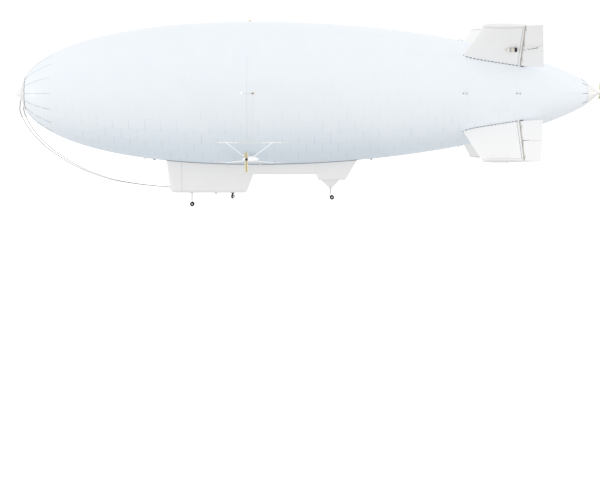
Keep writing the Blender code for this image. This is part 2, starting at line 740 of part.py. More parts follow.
def make_gear(name, swivel_station, seat_height, leg_bottom, wheel, track):
    """A fixed leg, a castering fork below it and twin wheels on one axle."""
    leg = bmesh.new()
    seat = seat_height - SEAT_GAP
    flange_bottom = (swivel_station, 0, seat - LEG_FLANGE_HEIGHT)
    rod(leg, flange_bottom, (swivel_station, 0, seat), LEG_FLANGE_RADIUS, sides=16)
    tube_top = (swivel_station, 0, seat - LEG_FLANGE_HEIGHT / 2)
    tube = rod(bmesh.new(), (swivel_station, 0, leg_bottom), tube_top, LEG_RADIUS, sides=16)
    tube = add_cutter(f"{name}_leg_tube", tube)
    leg = add(f"{name}_leg", leg, WHITE_TUBE)
    boolean(leg, "UNION", tube)

    wheel_x, wheel_z = wheel
    pivot = (swivel_station, 0, leg_bottom)
    top = leg_bottom - SEAT_GAP
    fork = bmesh.new()
    rod(fork, (swivel_station, 0, top - SWIVEL_HEIGHT), (swivel_station, 0, top), SWIVEL_RADIUS, sides=16)
    arm_top = (swivel_station, 0, top - SWIVEL_HEIGHT + 0.02)
    arm = rod(bmesh.new(), arm_top, (wheel_x, 0, wheel_z + 0.02), FORK_RADIUS, sides=12)
    boss_ends = [(wheel_x, side * AXLE_BOSS_HALF, wheel_z) for side in (-1, 1)]
    rod(arm, *boss_ends, AXLE_BOSS_RADIUS, sides=16)
    box(arm, (swivel_station - 0.17, swivel_station), (-0.02, 0.02), (top - 0.12, top - 0.08))
    fork = add(f"{name}_fork", fork, WHITE_TUBE, pivot)
    boolean(fork, "UNION", add_cutter(f"{name}_arm", arm, pivot), crossing=True)
    bore = rod(bmesh.new(), (wheel_x, -0.2, wheel_z), (wheel_x, 0.2, wheel_z), AXLE_BORE, sides=16)
    boolean(fork, "DIFFERENCE", add_cutter(f"{name}_axle_bore", bore, pivot))

    # columns: distance out from the ship's middle, radius; one half of the axle and its wheel
    inner, outer = track / 2 - TYRE_WIDTH / 2, track / 2 + TYRE_WIDTH / 2
    half_facet = math.pi / WHEEL_FACETS
    corner_radius = TYRE_RADIUS / math.cos(half_facet)
    half = [
        (0.0, AXLE_RADIUS),
        (AXLE_BOSS_HALF + SEAT_GAP, AXLE_RADIUS),
        (AXLE_BOSS_HALF + SEAT_GAP, HUB_RADIUS),
        (inner + RIM_DEPTH, HUB_RADIUS),
        (inner + RIM_DEPTH, RIM_RADIUS),
        (inner, TYRE_BEAD_RADIUS),
        (inner + TYRE_SHOULDER, corner_radius),
        (outer - TYRE_SHOULDER, corner_radius),
        (outer, TYRE_BEAD_RADIUS),
        (outer - RIM_DEPTH, RIM_RADIUS),
        (outer - RIM_DEPTH, 0.0),
    ]
    profile = [(-y, r) for y, r in reversed(half[1:])] + half[1:]
    wheels = turned(f"{name}_wheels", profile, TYRE_RUBBER, "Y", (wheel_x, 0, wheel_z), steps=WHEEL_FACETS)
    wheels.rotation_euler = (0, half_facet - PITCH, 0)


def make_sensor():
    """A sensor ball tilts between two arms that turn under the gondola."""
    top = GONDOLA_FLOOR - SEAT_GAP
    plate_radius, plate_height = SENSOR_PLATE
    plate = top - plate_height
    pivot = (SENSOR_STATION, 0, top)
    mount = rod(bmesh.new(), (SENSOR_STATION, 0, plate), pivot, plate_radius, sides=24)
    mount = add("sensor_mount", mount, DARK_METAL, pivot)
    arms = bmesh.new()
    face = SENSOR_RADIUS + SENSOR_CLEARANCE
    reach = face + SENSOR_ARM
    along = (SENSOR_STATION - 0.09, SENSOR_STATION + 0.09)
    box(arms, along, (-reach, reach), (plate - SENSOR_ARM, plate + 0.01))
    for side in (-1, 1):
        span = sorted((side * face, side * reach))
        box(arms, (SENSOR_STATION - 0.07, SENSOR_STATION + 0.07), span, (SENSOR_HEIGHT - 0.06, plate - 0.02))
    boolean(mount, "UNION", add_cutter("sensor_arms", arms, pivot), crossing=True)

    ball_centre = (SENSOR_STATION, 0, SENSOR_HEIGHT)
    half = [(0.0, SENSOR_RADIUS)]
    for degrees in (22, 45, 66):
        turn = math.radians(degrees)
        half.append((SENSOR_RADIUS * math.sin(turn), SENSOR_RADIUS * math.cos(turn)))
    half += [(face - SEAT_GAP, 0.05), (face - SEAT_GAP, 0.0)]
    profile = [(-y, r) for y, r in reversed(half[1:])] + half
    turned("sensor_ball", profile, DARK_METAL, "Y", ball_centre, steps=20)


def blade_section(distance, chord, thickness, twist_deg, hand):
    """One outline of a propeller blade that stands up from its hub, turned by its twist."""
    turn = math.radians(twist_deg) * hand
    points = []
    for along, depth in ((-0.5, 0.0), (-0.2, 0.5), (0.2, 0.4), (0.5, 0.0), (0.2, -0.4), (-0.2, -0.5)):
        x, y = depth * thickness, along * chord
        points.append(Vector((
            x * math.cos(turn) - y * math.sin(turn),
            x * math.sin(turn) + y * math.cos(turn),
            distance,
        )))
    return points


def make_propeller(name, centre, radius, hub_profile, first_roll, hand):
    """A spinner on a hub with three twisted blades, as one turning piece."""
    hub = turned(name, hub_profile, TAN_BLADE, "X", centre, steps=20)
    blades = bmesh.new()
    # columns: share of the radius, chord, thickness, twist
    rows = [(0.08, 0.12, 0.08, 80), (0.24, 0.32, 0.06, 74), (0.60, 0.37, 0.04, 66), (1.0, 0.26, 0.02, 60)]
    for i in range(3):
        turn = Matrix.Rotation(-math.radians(first_roll + 120 * i), 4, "X")
        sections = []
        for share, chord, thickness, twist in rows:
            section = blade_section(share * radius, chord, thickness, twist, hand)
            sections.append([Vector(centre) + turn @ point for point in section])
        loft(blades, sections)
    boolean(hub, "UNION", add_cutter(f"{name}_blades", blades, centre), crossing=True)


def make_side_drive(place, side):
    """A drive box on struts carries a cross tube, and a pod that tilts on the tube's end with a propeller."""
    pivot_x, pivot_y, pivot_z = POD_PIVOT
    y_limits = tuple(sorted(side * y for y in DRIVE_BOX_Y))
    drive = add(f"{place}_drive_box", box(bmesh.new(), DRIVE_BOX_X, y_limits, DRIVE_BOX_Z), WHITE_COMPOSITE)
    rounding = drive.modifiers.new("rounding", "BEVEL")
    rounding.width = DRIVE_EDGE
    rounding.segments = 2
    tube_end = POD_BOSS_SIDE - SEAT_GAP
    tube = rod(
        bmesh.new(),
        (pivot_x, side * (DRIVE_BOX_Y[1] - 0.1), pivot_z),
        (pivot_x, side * tube_end, pivot_z),
        DRIVE_TUBE_RADIUS,
        sides=16,
    )
    collar = [(pivot_x, side * y, pivot_z) for y in (tube_end - 0.05, tube_end)]
    rod(tube, *collar, DRIVE_COLLAR_RADIUS, sides=16)
    boolean(drive, "UNION", add_cutter(f"{place}_cross_tube", tube), crossing=True)

    seat_limits = [(low - SEAT_GAP, high + SEAT_GAP) for low, high in (DRIVE_BOX_X, y_limits, DRIVE_BOX_Z)]
    box_seat = add_cutter(f"{place}_box_seat", box(bmesh.new(), *seat_limits))
    inside_box = Vector((pivot_x, side * sum(DRIVE_BOX_Y) / 2, sum(DRIVE_BOX_Z) / 2))
    for level, roll, rail, pads, feet, (end_y, end_z) in DRIVE_FRAMES:
        roll *= side
        strip = bmesh.new()
        hull_strip(strip, roll, *rail, *RAIL_SIZE, 8)
        links = bmesh.new()
        for front, back in pads:
            hull_strip(links, roll, front, back, *PAD_SIZE, 2)
        for station, end_x in zip(feet, (DRIVE_BOX_X[0] + STRUT_INSET, DRIVE_BOX_X[1] - STRUT_INSET)):
            end = Vector((end_x, side * end_y, end_z))
            foot = around(roll, station, hull_radius(station))
            rod(links, foot, end.lerp(inside_box, 0.1), STRUT_RADIUS, sides=10)
        frame = add(f"{place}_{level}_struts", strip, WHITE_TUBE)
        boolean(frame, "UNION", add_cutter(f"{place}_{level}_links", links), crossing=True)
        boolean(frame, "DIFFERENCE", hull_seat)
        boolean(frame, "DIFFERENCE", box_seat)

    pivot = (pivot_x, side * pivot_y, pivot_z)
    front, back = POD_LENGTH[0] - pivot_x, POD_LENGTH[1] - pivot_x
    pod = turned(
        f"{place}_pod",
        [
            (front, 0),
            (front, 0.17),
            (front + 0.08, 0.22),
            (front + 0.30, POD_RADIUS),
            (0.45, 0.19),
            (back, 0.03),
            (back, 0),
        ],
        WHITE_COMPOSITE,
        origin=pivot,
        steps=24,
    )
    boss = rod(bmesh.new(), (pivot_x, side * POD_BOSS_SIDE, pivot_z), pivot, DRIVE_COLLAR_RADIUS, sides=16)
    boolean(pod, "UNION", add_cutter(f"{place}_pod_boss", boss, pivot))

    centre = (SIDE_PROP_STATION, side * pivot_y, pivot_z)
    hub_back = POD_LENGTH[0] - SEAT_GAP - SIDE_PROP_STATION
    hub = [(hub_back, 0), (hub_back, 0.12), (-0.07, 0.14), (-0.22, 0.11), (-0.36, 0.03), (-0.38, 0)]
    make_propeller(f"{place}_propeller", centre, SIDE_PROP_RADIUS, list(reversed(hub)), 180, side)


def make_stern_propeller():
    """The stern propeller pushes from behind the tail cone."""
    front = TAIL_CONE_BACK + SEAT_GAP - STERN_PROP_STATION
    back = SHIP_LENGTH - STERN_PROP_STATION
    spinner = [(0.08, 0.16), (0.16, 0.22), (0.26, 0.21), (back - 0.03, 0.11)]
    hub = [(front, 0), (front, 0.13), *spinner, (back, 0)]
    make_propeller("stern_propeller", (STERN_PROP_STATION, 0, 0), STERN_PROP_RADIUS, hub, 0, 1)


def smooth_route(points, count):
    """Evenly spaced points along a smooth curve through the given ones."""
    points = [Vector(point) for point in points]
    padded = [points[0] * 2 - points[1], *points, points[-1] * 2 - points[-2]]
    fine = []
    for a, b, c, d in zip(padded, padded[1:], padded[2:], padded[3:]):
        for i in range(24):
            t = i / 24
            fine.append(0.5 * (
                2 * b + (c - a) * t + (2 * a - 5 * b + 4 * c - d) * t**2 + (3 * b - a - 3 * c + d) * t**3
            ))
    fine.append(points[-1])
    lengths = [0.0]
    for a, b in zip(fine, fine[1:]):
        lengths.append(lengths[-1] + (b - a).length)
    spaced = []
    at = 0
    for i in range(count):
        goal = lengths[-1] * i / (count - 1)
        while at < len(fine) - 2 and lengths[at + 1] < goal:
            at += 1
        share = (goal - lengths[at]) / (lengths[at + 1] - lengths[at])
        spaced.append(fine[at].lerp(fine[at + 1], share))
    return spaced


# columns: station, distance from the ship's middle, height
NOSE_LINE_ROUTE = [
    (0.56, 1.19, -1.60),
    (0.90, 1.16, -2.50),
    (1.74, 1.08, -3.80),
    (2.93, 0.98, -5.02),
    (4.51, 0.86, -6.17),
    (6.28, 0.74, -7.18),
    (8.12, 0.62, -7.89),
    (9.45, 0.53, -8.28),
    (11.65, 0.38, -8.65),
    (13.60, 0.28, -8.86),
]


def make_nose_line(place, side):
    """A line hangs in a long bight from the dish's eye to the anchor on the gondola's front."""
    eye_top, eye_end = nose_line_eye(side)
    anchor_back, anchor_end = nose_line_anchor(side)
    leaving = (eye_end - eye_top).normalized()
    arriving = (anchor_end - anchor_back).normalized()
    route = [eye_end + leaving * reach for reach in (2 * SEAT_GAP, 0.48)]
    route += [Vector((x, side * y, z)) for x, y, z in NOSE_LINE_ROUTE]
    route += [anchor_end + arriving * reach for reach in (0.48, 2 * SEAT_GAP)]
    points = smooth_route(route, NOSE_LINE_POINTS)
    curve = bpy.data.curves.new(f"nose_line_{place}", "CURVE")
    curve.dimensions = "3D"
    curve.bevel_depth = NOSE_LINE_RADIUS
    curve.bevel_resolution = 2
    curve.use_fill_caps = True
    spline = curve.splines.new("POLY")
    spline.points.add(len(points) - 1)
    for slot, point in zip(spline.points, points):
        slot.co = (*point, 1)
    curve.materials.append(LINE_ROPE)
    line = bpy.data.objects.new(f"nose_line_{place}", curve)
    line.parent = stance
    parts.objects.link(line)


make_envelope()
make_nose()
make_tail_cone()
for fin_place, fin_roll in FIN_ROLLS.items():
    make_fin(fin_place, fin_roll)
    make_stays(fin_place, fin_roll)
make_gondola()
make_keel()
make_aft_fairing()
make_belly_blade()
make_gear("front_gear", FRONT_SWIVEL_STATION, GONDOLA_FLOOR, FRONT_SWIVEL_TOP, FRONT_WHEEL, FRONT_TRACK)
make_gear("rear_gear", REAR_SWIVEL_STATION, FAIRING_APEX[1], REAR_SWIVEL_TOP, REAR_WHEEL, REAR_TRACK)
make_sensor()
for drive_place, drive_side in (("port", -1), ("starboard", 1)):
    make_side_drive(drive_place, drive_side)
    make_nose_line(drive_place, drive_side)
make_stern_propeller()
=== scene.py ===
import math

import bmesh
import bpy
from mathutils import Matrix, Vector


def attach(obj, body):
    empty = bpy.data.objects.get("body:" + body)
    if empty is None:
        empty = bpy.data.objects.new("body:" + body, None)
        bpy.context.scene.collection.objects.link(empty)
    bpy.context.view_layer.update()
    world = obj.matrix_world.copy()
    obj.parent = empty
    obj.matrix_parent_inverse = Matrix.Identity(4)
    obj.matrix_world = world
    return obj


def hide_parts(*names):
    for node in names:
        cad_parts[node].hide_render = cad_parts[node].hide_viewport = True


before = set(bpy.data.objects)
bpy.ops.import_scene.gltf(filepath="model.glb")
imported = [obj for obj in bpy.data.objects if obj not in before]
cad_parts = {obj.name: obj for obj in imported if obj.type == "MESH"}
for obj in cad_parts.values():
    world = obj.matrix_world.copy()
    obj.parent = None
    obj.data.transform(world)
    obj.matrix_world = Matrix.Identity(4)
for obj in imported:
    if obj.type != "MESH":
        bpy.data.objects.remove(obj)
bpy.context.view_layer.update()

# The airship stands on two pairs of wheels with its nose a little up, so its own axis slopes in the frame.
# Its pieces are modelled at full size in the ship's axes: X aft from the nose tip, Y starboard, Z up. Then
# settle() halves a piece and brings it to its place in the standing model. A wheel is (station, height).
MODEL_SCALE = 0.5
SHIP_LENGTH = 56.25
FRONT_WHEEL = (16.80, -10.57)
REAR_WHEEL = (30.20, -9.93)
TYRE_RADIUS = 0.21
PITCH = math.atan2(REAR_WHEEL[1] - FRONT_WHEEL[1], REAR_WHEEL[0] - FRONT_WHEEL[0])
NOSE_PLACE = Vector((
    -MODEL_SCALE * SHIP_LENGTH * math.cos(PITCH) / 2,
    0,
    MODEL_SCALE * (FRONT_WHEEL[0] * math.sin(PITCH) - FRONT_WHEEL[1] * math.cos(PITCH) + TYRE_RADIUS),
))
STANCE = (
    Matrix.Translation(NOSE_PLACE)
    @ Matrix.Rotation(PITCH, 4, "Y")
    @ Matrix.Diagonal((MODEL_SCALE, MODEL_SCALE, MODEL_SCALE, 1))
)


def settle(piece, body, slot, *nodes):
    """Brings a finished piece to its place, where it rides on a body and may replace nodes."""
    piece.data.transform(STANCE @ piece.matrix_basis)
    piece.matrix_basis = Matrix.Identity(4)
    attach(piece, body)
    if nodes:
        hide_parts(*nodes)


# The camera looks at the port side from far away, level with the ship's axis, and is rolled with its pitch.
# It is aimed below the axis, so that the ship lies across the top of the picture.
PICTURE_WIDTH = 600
PICTURE_HEIGHT = 480
AXIS_ROW = 93.4
METRES_PER_PIXEL = 0.0955 * MODEL_SCALE
MIDDLE_STATION = 27.141
CAMERA_DISTANCE = 85.0
aim_down = math.asin((PICTURE_HEIGHT / 2 - AXIS_ROW) * METRES_PER_PIXEL / CAMERA_DISTANCE)
bpy.ops.object.camera_add(
    location=STANCE @ Vector((MIDDLE_STATION, -CAMERA_DISTANCE / MODEL_SCALE, 0)),
    rotation=(
        Matrix.Rotation(PITCH, 3, "Y") @ Matrix.Rotation(math.pi / 2 - aim_down, 3, "X")
    ).to_euler(),
)
camera = bpy.context.object
camera.name = "photo_camera"
camera.data.sensor_width = 36
focal_pixels = CAMERA_DISTANCE * math.cos(aim_down) / METRES_PER_PIXEL
camera.data.lens = focal_pixels * camera.data.sensor_width / PICTURE_WIDTH
camera.data.clip_end = 1000
bpy.context.scene.camera = camera

# Two braided polyester handling lines hang in a long bight, each from an eye in front of the nose dish to an
# anchor on the gondola's front. They are pale grey, 35 mm thick in the model, and sag under their own weight.
SEAT_GAP = 0.0006
NOSE_LINE_RADIUS = 0.035
NOSE_LINE_POINTS = 42
# columns: station, distance from the ship's middle, height
NOSE_LINE_ROUTE = [
    (0.56, 1.19, -1.60),
    (0.90, 1.16, -2.50),
    (1.74, 1.08, -3.80),
    (2.93, 0.98, -5.02),
    (4.51, 0.86, -6.17),
    (6.28, 0.74, -7.18),
    (8.12, 0.62, -7.89),
    (9.45, 0.53, -8.28),
    (11.65, 0.38, -8.65),
    (13.60, 0.28, -8.86),
]
LINE_EYE_RADIUS = 0.06
EYE_TOP = (0.66, 1.20, -0.36)
EYE_END = (0.63, 1.20, -0.66)
ANCHOR_BACK = (14.95, 0.25, -8.97)
ANCHOR_END = (14.56, 0.25, -8.93)
STRAIGHT_LEAD = 0.48


def linear(hex_colour):
    """An sRGB colour such as "EDEDEE" as linear RGBA."""
    shares = [int(hex_colour[i:i + 2], 16) / 255 for i in (0, 2, 4)]
    return [c / 12.92 if c <= 0.04045 else ((c + 0.055) / 1.055) ** 2.4 for c in shares] + [1.0]


def add_node(tree, kind, settings, inputs):
    """Adds a node with its settings. Each input is linked to an output socket or holds a value."""
    node = tree.nodes.new(kind)
    for name, value in settings.items():
        setattr(node, name, value)
    for place, value in inputs.items():
        if isinstance(value, bpy.types.NodeSocket):
            tree.links.new(value, node.inputs[place])
        else:
            node.inputs[place].default_value = value
    return node


def start_material(name, roughness, metallic=0.0, **constants):
    """A material with constants on its shader, and the ship's own axes in full-size metres as coordinates."""
    material = bpy.data.materials.new(name)
    material.use_nodes = True
    tree = material.node_tree
    shader = tree.nodes["Principled BSDF"]
    shader.inputs["Roughness"].default_value = roughness
    shader.inputs["Metallic"].default_value = metallic
    for socket, value in constants.items():
        shader.inputs[socket.replace("_", " ")].default_value = value
    place = add_node(tree, "ShaderNodeTexCoord", {}, {}).outputs["Object"]
    away = Matrix.Rotation(-PITCH, 3, "Y") @ NOSE_PLACE / -MODEL_SCALE
    ship = add_node(
        tree,
        "ShaderNodeMapping",
        {},
        {
            "Vector": place,
            "Location": away,
            "Rotation": (0, -PITCH, 0),
            "Scale": [1 / MODEL_SCALE] * 3,
        },
    ).outputs["Vector"]
    return material, tree, shader, ship


def mottle(tree, coordinates, scale, dark, light, detail=3.0):
    """A soft mottle between two colours, with blotches of 1/scale metres."""
    noise = add_node(
        tree, "ShaderNodeTexNoise", {}, {"Vector": coordinates, "Scale": scale, "Detail": detail}
    ).outputs["Fac"]
    return add_node(
        tree, "ShaderNodeMix", {"data_type": "RGBA"}, {0: noise, 6: linear(dark), 7: linear(light)}
    ).outputs[2]


def grain(tree, shader, coordinates, scale, strength, distance):
    """A fine surface grain of 1/scale metres as bump."""
    noise = add_node(tree, "ShaderNodeTexNoise", {}, {"Vector": coordinates, "Scale": scale}).outputs["Fac"]
    bump = add_node(
        tree, "ShaderNodeBump", {}, {"Height": noise, "Strength": strength, "Distance": distance}
    ).outputs["Normal"]
    tree.links.new(bump, shader.inputs["Normal"])


# Braided polyester: matt, with strands that show as a fine grain of 20 mm, drawn coarse enough to show, and
# darker higher up, towards its nose end.
line_rope, tree, shader, ship = start_material("braided_polyester_line", 0.85)
height = add_node(tree, "ShaderNodeSeparateXYZ", {}, {"Vector": ship}).outputs["Z"]
# the line turns darker higher up, towards the nose
darker_higher_up = add_node(
    tree,
    "ShaderNodeMapRange",
    {"interpolation_type": "SMOOTHSTEP"},
    {"Value": height, "From Min": -8.1, "From Max": -7.0},
).outputs["Result"]
strands = add_node(
    tree,
    "ShaderNodeMix",
    {"data_type": "RGBA"},
    {
        0: darker_higher_up,
        6: mottle(tree, ship, 50, "AEAFB0", "C8C9CA"),
        7: mottle(tree, ship, 50, "7C7D7E", "999A9B"),
    },
).outputs[2]
tree.links.new(strands, shader.inputs["Base Color"])
grain(tree, shader, ship, 50, 0.5, 0.01)


def smooth_route(points, count):
    """Evenly spaced points along a smooth curve through the given ones."""
    points = [Vector(point) for point in points]
    padded = [points[0] * 2 - points[1], *points, points[-1] * 2 - points[-2]]
    fine = []
    for a, b, c, d in zip(padded, padded[1:], padded[2:], padded[3:]):
        for i in range(24):
            t = i / 24
            fine.append(0.5 * (
                2 * b + (c - a) * t + (2 * a - 5 * b + 4 * c - d) * t**2 + (3 * b - a - 3 * c + d) * t**3
            ))
    fine.append(points[-1])
    lengths = [0.0]
    for a, b in zip(fine, fine[1:]):
        lengths.append(lengths[-1] + (b - a).length)
    spaced = []
    at = 0
    for i in range(count):
        goal = lengths[-1] * i / (count - 1)
        while at < len(fine) - 2 and lengths[at + 1] < goal:
            at += 1
        share = (goal - lengths[at]) / (lengths[at + 1] - lengths[at])
        spaced.append(fine[at].lerp(fine[at + 1], share))
    return spaced


def on_side(point, side):
    """A point given for the starboard side (1), on that side or the port side (-1)."""
    return Vector((point[0], side * point[1], point[2]))


def draw_curve(name, points, radius, resolution, material=None):
    """A round curve through points, with capped ends."""
    curve = bpy.data.curves.new(name, "CURVE")
    curve.dimensions = "3D"
    curve.bevel_depth = radius
    curve.bevel_resolution = resolution
    curve.use_fill_caps = True
    spline = curve.splines.new("POLY")
    spline.points.add(len(points) - 1)
    for knot, point in zip(spline.points, points):
        knot.co = (*point, 1)
    if material:
        curve.materials.append(material)
    piece = bpy.data.objects.new(name, curve)
    bpy.context.collection.objects.link(piece)
    return piece


for place, side in (("port", -1), ("starboard", 1)):
    eye_top, eye_end = on_side(EYE_TOP, side), on_side(EYE_END, side)
    anchor_back, anchor_end = on_side(ANCHOR_BACK, side), on_side(ANCHOR_END, side)
    leaving = (eye_end - eye_top).normalized()
    arriving = (anchor_end - anchor_back).normalized()
    route = [eye_end + leaving * reach for reach in (2 * SEAT_GAP, STRAIGHT_LEAD)]
    route += [on_side(point, side) for point in NOSE_LINE_ROUTE]
    route += [anchor_end + arriving * reach for reach in (STRAIGHT_LEAD, 2 * SEAT_GAP)]
    points = [STANCE @ point for point in smooth_route(route, NOSE_LINE_POINTS)]
    line = draw_curve(f"{place}_handling_line", points, NOSE_LINE_RADIUS * MODEL_SCALE, 3, line_rope)
    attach(line, "ship")
    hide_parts(f"nose_line_{place}")

# The ship stands in a white studio: a pale floor, a bright overcast all round, a broad soft light overhead
# and a low one at each end. The floor lights nothing from below, as the picture's ship is shaded underneath.
scene = bpy.context.scene
scene.view_settings.view_transform = "Standard"
bpy.ops.mesh.primitive_plane_add(size=1600, location=(0, 0, 0))
floor = bpy.context.object
floor.name = "studio_floor"
floor.visible_diffuse = False
floor.visible_glossy = False
# Floor paint: matt white, with soft tones tens of metres across and a slight glow of its own.
floor_paint, tree, shader, ship = start_material("lit_white_floor", 0.9, Emission_Strength=0.45)
shader.inputs["Emission Color"].default_value = linear("FFFFFF")
tree.links.new(mottle(tree, ship, 0.02, "FBFBFB", "FFFFFF"), shader.inputs["Base Color"])
floor.data.materials.append(floor_paint)

world = bpy.data.worlds.new("white_studio")
scene.world = world
world.use_nodes = True
tree = world.node_tree
aim = add_node(tree, "ShaderNodeTexCoord", {}, {}).outputs["Generated"]
height = add_node(tree, "ShaderNodeSeparateXYZ", {}, {"Vector": aim}).outputs["Z"]
share = add_node(
    tree, "ShaderNodeMapRange", {}, {"Value": height, "From Min": -1.0, "From Max": 1.0}
).outputs["Result"]
sky = add_node(tree, "ShaderNodeValToRGB", {}, {"Fac": share})
# columns: height as a share from straight down to straight up, colour
SKY = [(0.0, "D6D6D6"), (0.15, "DBDBDB"), (0.27, "FFFFFF"), (0.6, "FFFFFF"), (1.0, "F4F4F4")]
while len(sky.color_ramp.elements) < len(SKY):
    sky.color_ramp.elements.new(0.5)
for element, (place, colour) in zip(sky.color_ramp.elements, SKY):
    element.position = place
    element.color = linear(colour)
background = tree.nodes["Background"]
tree.links.new(sky.outputs["Color"], background.inputs["Color"])
background.inputs["Strength"].default_value = 1.03

bpy.ops.object.light_add(type="SUN", location=(0, -20, 40), rotation=(math.radians(20), 0, 0))
overhead = bpy.context.object
overhead.name = "overhead_softbox"
overhead.data.energy = 0.10
overhead.data.angle = math.radians(60)
for name, turn in (("front_softbox", -90), ("rear_softbox", 90)):
    bpy.ops.object.light_add(
        type="SUN", location=(math.copysign(60, turn), 0, 10), rotation=(0, math.radians(turn), 0)
    )
    softbox = bpy.context.object
    softbox.name = name
    softbox.data.energy = 0.45
    softbox.data.angle = math.radians(8)

# The envelope is a white laminate of woven polyester under a polyurethane film. It is cut into 32 gores, and
# each gore into panels 1.5 m long, staggered by half from gore to gore. The seams are welded under tape.
HULL_RADIUS = 6.78
HULL_NOSE = 0.64
HULL_WIDEST = 23.03
HULL_TAIL = 55.50
NOSE_FULLNESS = (2.2, 0.44)
TAIL_FULLNESS = (2.0, 0.68)
ENVELOPE_FRONT = 0.72
ENVELOPE_BACK = 54.95
ENVELOPE_WALL = 0.020
GORES = 32
PANEL_LENGTH = 1.5


def hull_radius(station):
    """The hull's outline: two flattened ellipses that meet at the widest station."""
    if station < HULL_WIDEST:
        share = (HULL_WIDEST - station) / (HULL_WIDEST - HULL_NOSE)
        power, root = NOSE_FULLNESS
    else:
        share = (station - HULL_WIDEST) / (HULL_TAIL - HULL_WIDEST)
        power, root = TAIL_FULLNESS
    return HULL_RADIUS * max(0.0, 1 - share**power) ** root


# columns: axis, its direction, the turn that sets a circle square to it
AXES = {
    "X": ((1, 0, 0), (0, math.pi / 2, 0)),
    "Y": ((0, 1, 0), (math.pi / 2, 0, 0)),
    "Z": ((0, 0, 1), (0, 0, 0)),
}


def draw_round(name, rows, sides, material, axis="X", centre=(0, 0, 0), close=True, smooth_angle=35):
    """A round body: one circle is extruded from row to row, each (place along the axis, radius)."""
    direction, turn = AXES[axis]
    direction = Vector(direction)
    across = Vector((1, 1, 1)) - direction
    bpy.ops.object.select_all(action="DESELECT")
    bpy.ops.mesh.primitive_circle_add(
        vertices=sides,
        radius=rows[0][1],
        fill_type="NOTHING",
        location=Vector(centre) + direction * rows[0][0],
        rotation=turn,
    )
    piece = bpy.context.object
    piece.name = name
    bpy.ops.object.mode_set(mode="EDIT")
    for (place, radius), (next_place, next_radius) in zip(rows, rows[1:]):
        bpy.ops.mesh.extrude_region_move(
            TRANSFORM_OT_translate={"value": direction * (next_place - place)}
        )
        bpy.ops.transform.resize(
            value=direction + across * (next_radius / radius),
            center_override=Vector(centre) + direction * next_place,
        )
    bpy.ops.mesh.select_all(action="SELECT")
    if close:
        bpy.ops.mesh.fill_holes(sides=0)
    bpy.ops.mesh.normals_make_consistent(inside=False)
    bpy.ops.object.mode_set(mode="OBJECT")
    bpy.ops.object.shade_smooth_by_angle(angle=math.radians(smooth_angle))
    piece.data.materials.append(material)
    return piece


def select_only(piece):
    """Selects one piece and makes it the active one."""
    bpy.ops.object.select_all(action="DESELECT")
    piece.select_set(True)
    bpy.context.view_layer.objects.active = piece


def finish_with(piece, kind, **settings):
    """Adds a modifier to a piece and applies it."""
    select_only(piece)
    modifier = piece.modifiers.new(kind.lower(), kind)
    for name, value in settings.items():
        setattr(modifier, name, value)
    bpy.ops.object.modifier_apply(modifier=modifier.name)


# Polyurethane-coated polyester: satin, cool white, with each panel a shade apart from the next and its taped
# seams a little darker. The seams darken more towards the lower half as painted shade, broken up at random,
# and the whole cloth turns darker and bluer underneath as painted shade.
fabric, tree, shader, ship = start_material("coated_polyester_laminate", 0.38, IOR=1.47)
across = add_node(tree, "ShaderNodeSeparateXYZ", {}, {"Vector": ship})
roll = add_node(
    tree, "ShaderNodeMath", {"operation": "ARCTAN2"}, {0: across.outputs["Y"], 1: across.outputs["Z"]}
).outputs[0]
gore = add_node(
    tree, "ShaderNodeMath", {"operation": "MULTIPLY"}, {0: roll, 1: GORES / (2 * math.pi)}
).outputs[0]
gore_number = add_node(tree, "ShaderNodeMath", {"operation": "FLOOR"}, {0: gore}).outputs[0]
stagger = add_node(
    tree, "ShaderNodeMath", {"operation": "MULTIPLY_ADD"}, {0: gore_number, 1: 0.5, 2: 0.0}
).outputs[0]
length = add_node(
    tree,
    "ShaderNodeMath",
    {"operation": "MULTIPLY_ADD"},
    {0: across.outputs["X"], 1: 1 / PANEL_LENGTH, 2: stagger},
).outputs[0]
panel_number = add_node(tree, "ShaderNodeMath", {"operation": "FLOOR"}, {0: length}).outputs[0]
panel = add_node(tree, "ShaderNodeCombineXYZ", {}, {"X": panel_number, "Y": gore_number}).outputs["Vector"]
tone = add_node(
    tree, "ShaderNodeTexWhiteNoise", {"noise_dimensions": "3D"}, {"Vector": panel}
).outputs["Value"]
cloth = add_node(
    tree, "ShaderNodeMix", {"data_type": "RGBA"}, {0: tone, 6: linear("F0F6FB"), 7: linear("F2F7FC")}
).outputs[2]
# painted shade: the cloth turns darker and bluer towards the underside
painted_underside_shade = add_node(
    tree,
    "ShaderNodeMapRange",
    {"interpolation_type": "SMOOTHSTEP"},
    {"Value": across.outputs["Z"], "From Min": -2.0, "From Max": -6.2},
).outputs["Result"]
cloth = add_node(
    tree, "ShaderNodeMix", {"data_type": "RGBA"}, {0: painted_underside_shade, 6: cloth, 7: linear("E3EEF7")}
).outputs[2]
seams = []
for count, size in ((length, PANEL_LENGTH), (gore, 2 * math.pi * HULL_RADIUS / GORES)):
    away = add_node(tree, "ShaderNodeMath", {"operation": "PINGPONG"}, {0: count, 1: 0.5}).outputs[0]
    seams.append(add_node(
        tree,
        "ShaderNodeMapRange",
        {"interpolation_type": "SMOOTHSTEP"},
        {"Value": away, "From Min": 0.045 / size, "From Max": 0.012 / size},
    ).outputs["Result"])
cross_seam, gore_seam = seams
